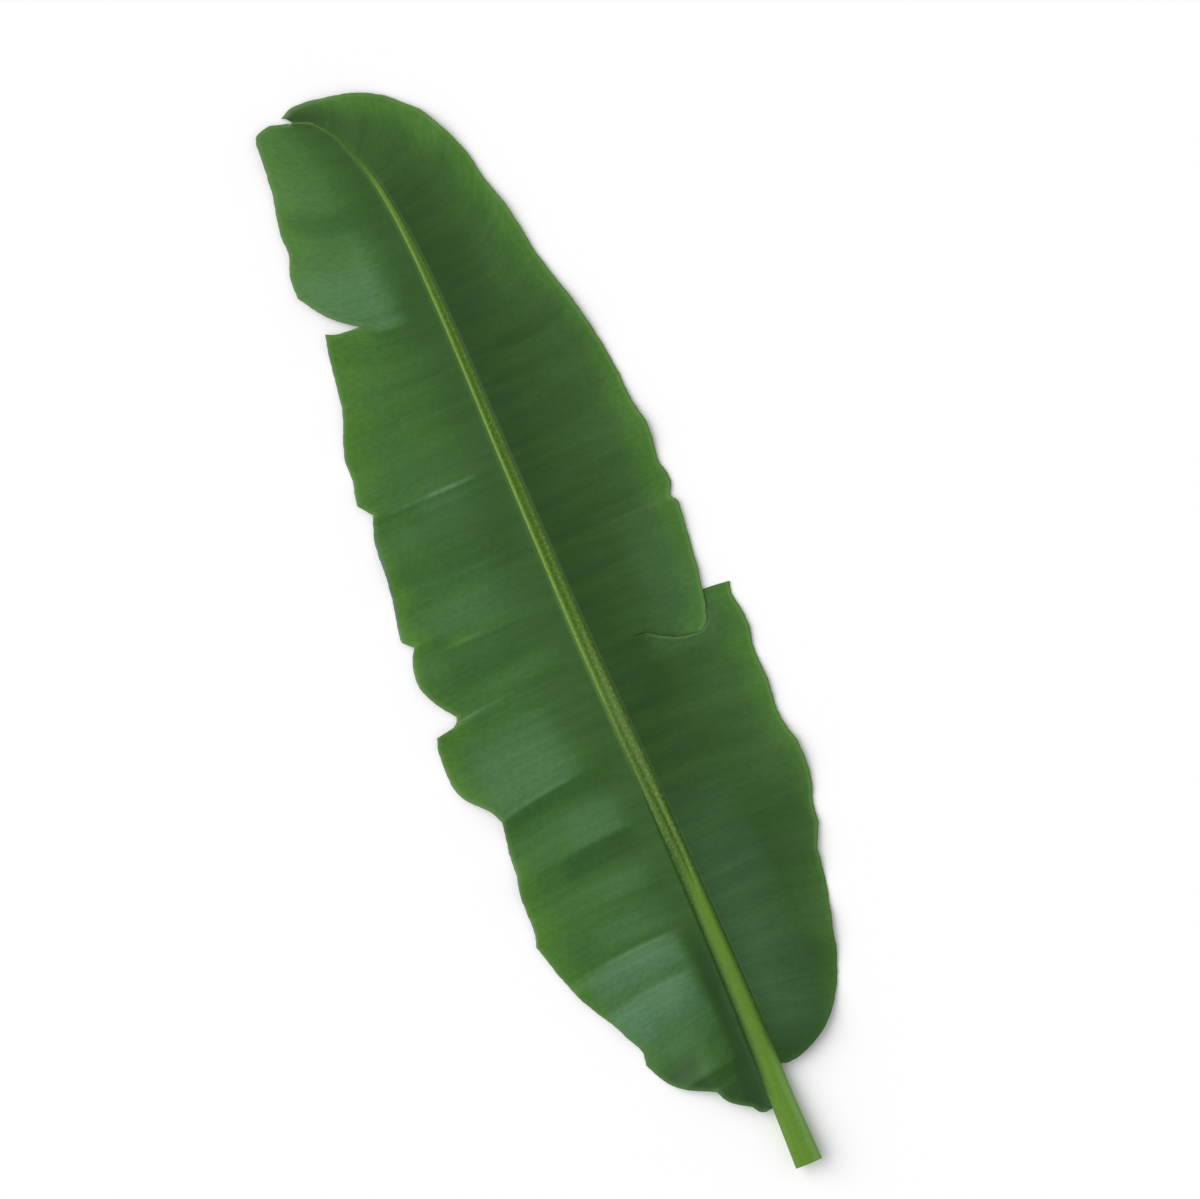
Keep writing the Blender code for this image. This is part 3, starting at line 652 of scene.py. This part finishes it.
def make_midrib():
    """A loft of the rib's sections, closed by rings that shrink to a point over the cut and the end."""
    t = rows_between(RIB_STEP, STALK_CUT, RIB_END, RIB_SIZE, CHANNEL)
    over = np.sin(np.linspace(-math.pi / 2, math.pi / 2, OVER_POINTS))
    under = np.sin(np.linspace(math.pi / 2, -math.pi / 2, UNDER_POINTS))
    points, v = rib_section(t, over, under)
    cut_middle = points[0].mean(axis=0)
    cut = cut_middle + (points[0] - cut_middle)[None] * CUT_RINGS[:, None, None]
    cut[:, :, 1] += air_pits(cut[:, :, 0], cut[:, :, 2])
    end_middle = points[-1].mean(axis=0)
    end = end_middle + (points[-1] - end_middle)[None] * END_RINGS[:, None, None]
    end[:, :, 1] += END_ONWARD[:, None]
    points = np.concatenate([cut[::-1], points, end])
    caps, ends = len(CUT_RINGS), len(END_RINGS)
    station = np.concatenate([np.full(caps, t[0]), t, np.full(ends, t[-1])])
    v = np.concatenate([np.repeat(v[:1], caps, axis=0), v, np.repeat(v[-1:], ends, axis=0)])
    rows, columns = points.shape[:2]
    index = np.arange(rows * columns).reshape(rows, columns)
    onward = np.roll(index, -1, axis=1)
    a, b, c, d = index[:-1].ravel(), onward[:-1].ravel(), onward[1:].ravel(), index[1:].ravel()
    faces = np.stack([a, b, c, d], axis=1)
    cut_face = np.repeat(np.arange(rows - 1) < caps - 1, columns)
    top = np.concatenate([np.ones(len(over)), np.zeros(len(under))])
    values = {"station": np.repeat(station, columns), "across": v.reshape(-1), "top": np.tile(top, rows)}
    vertices = placed(points)
    vertices, faces = close_end(vertices, faces, index[0][::-1])
    vertices, faces = close_end(vertices, faces, index[-1])
    values = {name: np.append(value, [value[0], value[-1]]) for name, value in values.items()}
    slots = np.concatenate([cut_face, np.ones(columns), np.zeros(columns)]).astype(int)
    rib = add_piece("midrib_fine", vertices, faces, values, [rib_skin(), rib_cut()], slots)
    rib.data.set_sharp_from_angle(angle=SHARP)
    return rib


def close_end(vertices, faces, ring):
    """Closes a ring with a fan of triangles round its middle."""
    middle = np.full(len(ring), len(vertices))
    fan = np.stack([ring, np.roll(ring, -1), middle, middle], axis=1)
    return np.vstack([vertices, vertices[ring].mean(axis=0)]), np.vstack([faces, fan])


def air_pits(x, z):
    """Depth of the air channels in the cut face: a field of round pits in staggered rows."""
    row = np.round(z / (PIT_PITCH * PIT_ROWS))
    dx = (x / PIT_PITCH + 0.5 * (row % 2)) % 1 - 0.5
    dz = z / (PIT_PITCH * PIT_ROWS) - row
    return PIT_DEPTH * np.exp(-((dx ** 2 + dz ** 2) / PIT_SPREAD))


def add(tree, kind, sockets=None, **settings):
    """A shader node with its settings, and its sockets set to values or linked to other nodes."""
    made = tree.nodes.new("ShaderNode" + kind)
    for name, value in settings.items():
        setattr(made, name, value)
    for key, value in (sockets or {}).items():
        if isinstance(value, bpy.types.NodeSocket):
            tree.links.new(value, made.inputs[key])
        else:
            made.inputs[key].default_value = value
    return made


def calc(tree, operation, a, b=0.0):
    """One sum on two values: a Math node's output."""
    return add(tree, "Math", {0: a, 1: b}, operation=operation).outputs[0]


def fade(tree, value, low, high, start=0.0, end=1.0):
    """A value eased from start to end as it goes from low to high."""
    sockets = {"Value": value, "From Min": low, "From Max": high, "To Min": start, "To Max": end}
    return add(tree, "MapRange", sockets, interpolation_type="SMOOTHSTEP").outputs["Result"]


def tint(tree, factor, a, b):
    """Colour a turned towards colour b by factor."""
    return add(tree, "Mix", {0: factor, 6: a, 7: b}, data_type="RGBA").outputs[2]


def read(tree, name):
    """A value that the mesh carries at its points, by name."""
    return add(tree, "Attribute", attribute_name=name, attribute_type="GEOMETRY").outputs["Fac"]


def grain(tree, x, y, length, stretch, detail=2.0, seed=0.0):
    """Noise from 0 to 1 about length long along x and stretched along y, both in millimetres."""
    scaled_x = calc(tree, "DIVIDE", x, length)
    scaled_y = calc(tree, "DIVIDE", y, length * stretch)
    vector = add(tree, "CombineXYZ", {0: scaled_x, 1: scaled_y, 2: seed}).outputs[0]
    sockets = {"Vector": vector, "Scale": 1.0, "Detail": detail, "Roughness": 0.55}
    return add(tree, "TexNoise", sockets).outputs["Fac"]


# Patterns over the blade: length along the midrib, stretch outwards, detail, seed
FINE_VEINS = (1.5, 70, 2, 1)
BANDS = (16, 10, 2, 2)
STREAKS = (5, 22, 2, 5)
MOTTLING = (4, 1.8, 3, 3)
GREEN_CLOUDS = (60, 1.5, 2, 7)
DRY_CLOUDS = (11, 1, 3, 8)

# Breaks in the creases: length outwards, stretch along the midrib, detail, seed
CREASE_BREAKS = (9, 3, 2, 6)

# Patterns over the midrib: length across, stretch along, detail, seed
RIB_STREAKS = (1.1, 60, 3, 1)
RIB_CLOUDS = (7, 6, 2, 2)
RIB_SPECKLE = (2.6, 1.5, 2, 4)


def vein_group():
    """Shared by all faces of the blade: fine veins, bands, streaks and mottling, as masks and a height."""
    tree = bpy.data.node_groups.new("vein_pattern", "ShaderNodeTree")
    for name in ("Station", "Out"):
        tree.interface.new_socket(name, in_out="INPUT", socket_type="NodeSocketFloat")
    for name in ("Fine", "Band", "Streak", "Mottle", "Height"):
        tree.interface.new_socket(name, in_out="OUTPUT", socket_type="NodeSocketFloat")
    given = tree.nodes.new("NodeGroupInput")
    station, out = given.outputs["Station"], given.outputs["Out"]
    fine = grain(tree, station, out, *FINE_VEINS)
    band = grain(tree, station, out, *BANDS)
    streak = grain(tree, station, out, *STREAKS)
    mottle = grain(tree, station, out, *MOTTLING)
    height = calc(tree, "ADD", calc(tree, "MULTIPLY", fine, 0.7), calc(tree, "MULTIPLY", mottle, 0.5))
    result = tree.nodes.new("NodeGroupOutput")
    made = {"Fine": fine, "Band": band, "Streak": streak, "Mottle": mottle, "Height": height}
    for name, socket in made.items():
        tree.links.new(socket, result.inputs[name])
    return tree


def veins(tree, station, out):
    """Places the shared vein pattern in a material."""
    group = bpy.data.node_groups.get("vein_pattern") or vein_group()
    made = add(tree, "Group", node_tree=group)
    tree.links.new(station, made.inputs["Station"])
    tree.links.new(out, made.inputs["Out"])
    return made.outputs


def finish_tree(name, roughness, specular):
    """A new material, its node tree and its shader, with the constants on the shader's own sockets."""
    made = bpy.data.materials.new(name)
    made.use_nodes = True
    shader = made.node_tree.nodes["Principled BSDF"]
    shader.inputs["Roughness"].default_value = roughness
    shader.inputs["Specular IOR Level"].default_value = specular
    return made, made.node_tree, shader


def bump(tree, shader, height, distance, strength):
    """Lets a height, distance millimetres deep, turn the shader's normal."""
    made = add(tree, "Bump", {"Height": height, "Distance": distance * MM, "Strength": strength})
    tree.links.new(made.outputs["Normal"], shader.inputs["Normal"])


# Colours of the blade
LEFT_DEEP = (0.0215, 0.0750, 0.0095, 1)
LEFT_MID = (0.0420, 0.1250, 0.0240, 1)
RIGHT_DEEP = (0.0150, 0.0520, 0.0065, 1)
RIGHT_MID = (0.0350, 0.0970, 0.0200, 1)
# Dark green of the painted shade, and of the fine veins and mottling
SHADE_AND_VEIN_GREEN = (0.0080, 0.0420, 0.0045, 1)
WARM_GREEN = (0.0640, 0.1830, 0.0170, 1)
BLOOM_AND_SHEEN_GREEN = (0.0900, 0.2050, 0.1050, 1)
CREASE_HIGHLIGHT_GREEN = (0.1500, 0.2800, 0.1500, 1)
EDGE_GREEN = (0.1150, 0.2350, 0.0650, 1)
STRIP_GREEN = (0.0650, 0.1550, 0.0850, 1)
LAP_LIGHT_GREEN = (0.0950, 0.2150, 0.0550, 1)
HALO_HIGHLIGHT_GREEN = (0.1300, 0.2550, 0.0500, 1)
DRY_BROWN = (0.1500, 0.1100, 0.0300, 1)
UNDER_GREEN = (0.1000, 0.2050, 0.0700, 1)
UNDER_VEIN = (0.1500, 0.2700, 0.1000, 1)
RIM_GREEN = (0.1000, 0.1900, 0.0400, 1)

# Fades of the blade's colours, each from one place to another in millimetres, and the strength at both
# where that isn't 0 and 1. Those with START, WEAK or END in the name run along the midrib
LEFT_DEEP_OUT = (0, 110)
RIGHT_DEEP_OUT = (10, 150)
HALO_OUT = (0.7, 5.2, 1, 0)
HALO_START = (330, 450)
HALO_WEAK = (560, 640, 1, 0.66)
PALE_EDGE = (0.5, 7, 0.52, 0)
PALE_START = (130, 330, 0.2, 1)
STRIP_EDGE = (2, 5, 0.75, 0)
STRIP_START = (625, 665)
STRIP_END = (740, 758, 1, 0)
RIM_SHADE_OUT = (1, 5, 0.9, 0)

# How far the deep green wanders, and the width of the dried edge
GREEN_WANDER = 70
DRY_WIDTH = 2.2


def by_side(tree, side, left, right):
    """One value on the left half and another on the right, eased where they join."""
    return fade(tree, side, -0.5, 0.5, left, right)


def leaf_upper():
    """Waxy upper face: deep green by the midrib, yellow-green by the edge, with veins and creases.
    Painted light and shade on it: sheen in the wax bloom, patches of shade, a darker right half, highlights
    along creases and beside the midrib's left lip, and a light strip beside the torn lobe.
    """
    made, tree, shader = finish_tree("leaf_upper", 0.42, 0.22)
    station, out, edge, side = (read(tree, name) for name in ("station", "out", "edge", "side"))
    pattern = veins(tree, station, out)
    wander = calc(tree, "SUBTRACT", grain(tree, station, out, *GREEN_CLOUDS), 0.5)
    reach = calc(tree, "ADD", out, calc(tree, "MULTIPLY", wander, GREEN_WANDER))
    left = tint(tree, fade(tree, reach, *LEFT_DEEP_OUT), LEFT_DEEP, LEFT_MID)
    right = tint(tree, fade(tree, reach, *RIGHT_DEEP_OUT), RIGHT_DEEP, RIGHT_MID)
    # The right half takes darker greens than the left: painted shade of the half that slopes away from the
    # light
    colour = tint(tree, fade(tree, side, -0.6, 0.6), left, right)
    band = calc(tree, "MULTIPLY", fade(tree, pattern["Band"], 0.3, 0.75), 0.16)
    colour = tint(tree, band, colour, WARM_GREEN)
    warm = calc(tree, "MULTIPLY", read(tree, "warm"), fade(tree, pattern["Streak"], 0.2, 0.8, 0.72, 0.92))
    colour = tint(tree, calc(tree, "MINIMUM", warm, 0.95), colour, WARM_GREEN)
    # Painted shade where folds and the dip beside the midrib turn away from the light
    colour = tint(tree, calc(tree, "MINIMUM", read(tree, "painted_shade"), 0.85), colour, SHADE_AND_VEIN_GREEN)
    # Wax bloom, with painted sheen where the wax would reflect the light; the bloom also makes the wax
    # rougher
    bloom_and_sheen = calc(tree, "MULTIPLY", read(tree, "bloom_and_sheen"), fade(tree, pattern["Streak"], 0.2, 0.8, 0.48, 0.74))
    bloom_and_sheen = calc(tree, "MINIMUM", bloom_and_sheen, 0.85)
    colour = tint(tree, bloom_and_sheen, colour, BLOOM_AND_SHEEN_GREEN)
    colour = tint(tree, fade(tree, pattern["Fine"], 0.3, 0.7, 0.09, 0), colour, SHADE_AND_VEIN_GREEN)
    colour = tint(tree, fade(tree, pattern["Mottle"], 0.3, 0.7, 0.2, 0), colour, SHADE_AND_VEIN_GREEN)
    # Painted highlight along each crease, broken here and there
    broken = fade(tree, grain(tree, out, station, *CREASE_BREAKS), 0.3, 0.65, 0.5, 1)
    crease_highlight = calc(tree, "MULTIPLY", read(tree, "crease_highlight"), broken)
    colour = tint(tree, calc(tree, "MINIMUM", crease_highlight, 0.8), colour, CREASE_HIGHLIGHT_GREEN)
    # Painted highlight on the blade beside the midrib's lit left lip
    halo_highlight = calc(tree, "MULTIPLY", fade(tree, out, *HALO_OUT), fade(tree, station, *HALO_START))
    halo_highlight = calc(tree, "MULTIPLY", halo_highlight, fade(tree, station, *HALO_WEAK))
    halo_highlight = calc(tree, "MULTIPLY", halo_highlight, by_side(tree, side, 0.72, 0.06))
    colour = tint(tree, halo_highlight, colour, HALO_HIGHLIGHT_GREEN)
    dry = calc(tree, "MULTIPLY", grain(tree, station, out, *DRY_CLOUDS), DRY_WIDTH)
    dry = calc(tree, "SUBTRACT", 1, fade(tree, calc(tree, "DIVIDE", edge, dry), 0.2, 1.0))
    colour = tint(tree, calc(tree, "MULTIPLY", dry, 0.25), colour, DRY_BROWN)
    pale = calc(tree, "MAXIMUM", fade(tree, station, *PALE_START), by_side(tree, side, 0.6, 0))
    pale = calc(tree, "MULTIPLY", pale, fade(tree, edge, *PALE_EDGE))
    colour = tint(tree, pale, colour, EDGE_GREEN)
    strip = calc(tree, "MULTIPLY", fade(tree, edge, *STRIP_EDGE), by_side(tree, side, 1, 0))
    strip = calc(tree, "MULTIPLY", strip, fade(tree, station, *STRIP_START))
    strip = calc(tree, "MULTIPLY", strip, fade(tree, station, *STRIP_END))
    colour = tint(tree, strip, colour, STRIP_GREEN)
    # Painted light beside the torn lobe's edge, against the shadow there
    colour = tint(tree, fade(tree, read(tree, "lap_light"), 0, 1, 0, 0.85), colour, LAP_LIGHT_GREEN)
    tree.links.new(colour, shader.inputs["Base Color"])
    rough = fade(tree, pattern["Mottle"], 0.2, 0.8, 0.38, 0.5)
    rough = calc(tree, "ADD", calc(tree, "MULTIPLY", bloom_and_sheen, 0.1), rough)
    tree.links.new(rough, shader.inputs["Roughness"])
    bump(tree, shader, pattern["Height"], 0.1, 0.3)
    return made


def leaf_under():
    """Underside: paler, greyer and more matt, with the veins standing out."""
    made, tree, shader = finish_tree("leaf_under", 0.6, 0.3)
    station, out = read(tree, "station"), read(tree, "out")
    pattern = veins(tree, station, out)
    colour = tint(tree, fade(tree, pattern["Fine"], 0.35, 0.65), UNDER_GREEN, UNDER_VEIN)
    colour = tint(tree, fade(tree, pattern["Band"], 0.3, 0.8, 0, 0.4), colour, LEFT_MID)
    tree.links.new(colour, shader.inputs["Base Color"])
    bump(tree, shader, pattern["Height"], 0.3, 0.8)
    return made


def leaf_rim():
    """The blade's thin edge: pale green, dried brown here and there, and painted shade beside the midrib.
    """
    made, tree, shader = finish_tree("leaf_rim", 0.6, 0.3)
    station, out = read(tree, "station"), read(tree, "out")
    dry = fade(tree, veins(tree, station, out)["Mottle"], 0.45, 0.65)
    colour = tint(tree, dry, RIM_GREEN, DRY_BROWN)
    # Painted shade on the rim beside the midrib
    colour = tint(tree, fade(tree, out, *RIM_SHADE_OUT), colour, SHADE_AND_VEIN_GREEN)
    tree.links.new(colour, shader.inputs["Base Color"])
    return made


# Colours of the midrib and stalk
STALK_GREEN = (0.1080, 0.2280, 0.0250, 1)
STALK_SIDE = (0.1700, 0.3100, 0.0850, 1)
RIB_GREEN = (0.1020, 0.2050, 0.0250, 1)
RIB_OLIVE = (0.0540, 0.1180, 0.0100, 1)
RIB_GREY = (0.1050, 0.1700, 0.0480, 1)
# Pale green of the painted highlights on the left lip and the channel's wall, and of the pale speckles
RIB_LIP = (0.1550, 0.2850, 0.0480, 1)
RIB_TIP = (0.0350, 0.1050, 0.0180, 1)
# Dark green of the painted shade on the midrib's sides, and of its dark speckles
RIB_EDGE = (0.0100, 0.0420, 0.0050, 1)
RIB_UNDER = (0.1500, 0.2800, 0.0700, 1)
PITH = (0.4800, 0.5400, 0.3000, 1)
PIT_SHADE = (0.2600, 0.3300, 0.1500, 1)

# Fades of the midrib's colours along it, as for the blade
STALK_END = (10, 90, 1, 0)
OLIVE_START = (235, 335, 0, 0.95)
GREY_START = (265, 340, 0, 0.45)
GREY_END = (480, 600, 1, 0)
LEFT_SHADE_START = (-30, 60, 0, 0.95)
LEFT_SHADE_END = (290, 345, 1, 0.1)
RIGHT_SHADE_START = (25, 90, 0, 0.72)
RIGHT_SHADE_END = (340, 420, 1, 0.2)
LIP_START = (340, 580)
LIP_END = (1070, 1150, 1, 0.1)
WALL_HIGHLIGHT_START = (300, 350)
WALL_HIGHLIGHT_END = (340, 400, 1, 0)
TIP_START = (1085, 1160, 0, 0.95)
GRAIN_START = (200, 330, 0.25, 1)

# Where the painted highlight on the left lip lies across the midrib and how wide it is, as shares of the
# half width, along it
LIP_MIDDLE = (980, 1090, -0.84, -0.35)
LIP_WIDTH = (820, 1060, 0.42, 0.75)

# Half width taken for the midrib's patterns, and how much sooner its left side turns olive
PATTERN_HALF = 10
OLIVE_LEAD = 60

# Cells of the pith in a metre
PITH_CELLS = 420.0


def rib_skin():
    """Skin of the midrib and stalk: olive in the channel, with painted shade in it; painted highlights on
    its left lip and on the channel's right wall; painted shade on its sides; streaked and grained.
    """
    made, tree, shader = finish_tree("rib_skin", 0.45, 0.14)
    station, across, top = read(tree, "station"), read(tree, "across"), read(tree, "top")
    side_mm = calc(tree, "MULTIPLY", across, PATTERN_HALF)
    streak = grain(tree, side_mm, station, *RIB_STREAKS)
    cloud = grain(tree, side_mm, station, *RIB_CLOUDS)
    stalk = fade(tree, station, *STALK_END)
    colour = tint(tree, stalk, RIB_GREEN, STALK_GREEN)
    side_band = calc(tree, "MULTIPLY", fade(tree, across, 0.2, 0.75), stalk)
    colour = tint(tree, side_band, colour, STALK_SIDE)
    # Olive past the stalk, sooner on the left: the midrib's own olive, with painted shade of its channel in
    # it
    sooner_left = calc(tree, "SUBTRACT", station, calc(tree, "MULTIPLY", across, OLIVE_LEAD))
    colour = tint(tree, fade(tree, sooner_left, *OLIVE_START), colour, RIB_OLIVE)
    grey = fade(tree, station, *GREY_START)
    grey = calc(tree, "MULTIPLY", grey, fade(tree, station, *GREY_END))
    colour = tint(tree, grey, colour, RIB_GREY)
    # Painted shade on the midrib's sides, where they curve down to the blade
    left_side_shade = calc(tree, "MULTIPLY", fade(tree, across, -0.3, -1), fade(tree, station, *LEFT_SHADE_START))
    left_side_shade = calc(tree, "MULTIPLY", left_side_shade, fade(tree, station, *LEFT_SHADE_END))
    right_side_shade = calc(tree, "MULTIPLY", fade(tree, across, 0.3, 1), fade(tree, station, *RIGHT_SHADE_START))
    right_side_shade = calc(tree, "MULTIPLY", right_side_shade, fade(tree, station, *RIGHT_SHADE_END))
    colour = tint(tree, calc(tree, "MAXIMUM", left_side_shade, right_side_shade), colour, RIB_EDGE)
    # Painted highlight along the left lip, where it faces the light
    lip_middle = fade(tree, station, *LIP_MIDDLE)
    lip_width = fade(tree, station, *LIP_WIDTH)
    past_lip = calc(tree, "SUBTRACT", across, lip_middle)
    right_of_lip = calc(tree, "MULTIPLY", past_lip, 0.7)
    from_lip = calc(tree, "MAXIMUM", right_of_lip, calc(tree, "MULTIPLY", past_lip, -1))
    off = calc(tree, "DIVIDE", from_lip, lip_width)
    lip_highlight = calc(tree, "MULTIPLY", fade(tree, off, 0.1, 1.1, 1, 0), fade(tree, station, *LIP_START))
    lip_highlight = calc(tree, "MULTIPLY", lip_highlight, fade(tree, station, *LIP_END))
    colour = tint(tree, lip_highlight, colour, RIB_LIP)
    # Painted highlight on the channel's right wall, which faces the light
    wall = fade(tree, calc(tree, "ABSOLUTE", calc(tree, "SUBTRACT", across, 0.35)), 0.05, 0.3, 0.4, 0)
    where = calc(tree, "MULTIPLY", fade(tree, station, *WALL_HIGHLIGHT_START), fade(tree, station, *WALL_HIGHLIGHT_END))
    wall = calc(tree, "MULTIPLY", wall, where)
    colour = tint(tree, wall, colour, RIB_LIP)
    colour = tint(tree, fade(tree, station, *TIP_START), colour, RIB_TIP)
    colour = tint(tree, fade(tree, streak, 0.35, 0.7, 0.2, 0), colour, RIB_OLIVE)
    colour = tint(tree, fade(tree, cloud, 0.35, 0.7, 0.12, 0), colour, RIB_OLIVE)
    speckle = grain(tree, side_mm, station, *RIB_SPECKLE)
    grainy = fade(tree, station, *GRAIN_START)
    pale = calc(tree, "MULTIPLY", fade(tree, speckle, 0.5, 0.7, 0, 0.42), grainy)
    colour = tint(tree, pale, colour, RIB_LIP)
    dark = calc(tree, "MULTIPLY", fade(tree, speckle, 0.3, 0.5, 0.3, 0), grainy)
    colour = tint(tree, dark, colour, RIB_EDGE)
    colour = tint(tree, calc(tree, "SUBTRACT", 1, top), colour, RIB_UNDER)
    tree.links.new(colour, shader.inputs["Base Color"])
    bump(tree, shader, streak, 0.2, 0.5)
    return made


def rib_cut():
    """Fresh cut across the stalk: pale pith with darker air channels."""
    made, tree, shader = finish_tree("rib_cut", 0.5, 0.4)
    place = add(tree, "TexCoord").outputs["Object"]
    cells = add(tree, "TexVoronoi", {"Vector": place, "Scale": PITH_CELLS}).outputs["Distance"]
    colour = tint(tree, fade(tree, cells, 0.2, 0.55), PIT_SHADE, PITH)
    tree.links.new(colour, shader.inputs["Base Color"])
    return made


def make_floor():
    """A wide plain pale floor just under the leaf."""
    made, tree, shader = finish_tree("floor_pale", 0.9, 0.1)
    shader.inputs["Base Color"].default_value = FLOOR_WHITE
    corners = np.array([[-1, -1, 0], [1, -1, 0], [1, 1, 0], [-1, 1, 0]]) * FLOOR_REACH - [0, 0, FLOOR_BELOW]
    return add_piece("floor", corners, np.array([[0, 1, 2, 3]]), {}, [made])


def make_camera():
    """Straight above the leaf, turned so that the tip points to the upper left as in the photograph."""
    data = bpy.data.cameras.new("camera")
    data.sensor_width = SENSOR
    data.lens = SENSOR * CAMERA_HEIGHT / PHOTO_WIDTH
    data.clip_end = CAMERA_REACH
    camera = bpy.data.objects.new("camera", data)
    bpy.context.scene.collection.objects.link(camera)
    camera.location = (PHOTO_CENTRE[0] * MM, PHOTO_CENTRE[1] * MM, CAMERA_HEIGHT * MM)
    camera.rotation_euler = (0, 0, -PHOTO_TURN)
    bpy.context.scene.camera = camera


def make_light():
    """Plain soft studio light from the photograph's left, a little towards the tip, and an even sky."""
    data = bpy.data.lights.new("key", "SUN")
    data.angle = SUN_WIDTH
    data.energy = SUN_STRENGTH
    light = bpy.data.objects.new("key", data)
    bpy.context.scene.collection.objects.link(light)
    light.rotation_euler = (0, SUN_TILT, SUN_TURN - PHOTO_TURN)
    world = bpy.data.worlds.new("studio")
    world.use_nodes = True
    sky = world.node_tree.nodes["Background"]
    sky.inputs["Color"].default_value = SKY_WHITE
    sky.inputs["Strength"].default_value = SKY_STRENGTH
    bpy.context.scene.world = world
    bpy.context.scene.view_settings.view_transform = "Standard"


def main():
    """Camera, the two pieces with the nodes that they replace, the floor and the light."""
    make_camera()
    blade = make_blade()
    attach(blade, "root")
    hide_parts("leaf_blade")
    rib = make_midrib()
    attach(rib, "root")
    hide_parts("midrib_petiole")
    make_floor()
    make_light()


main()
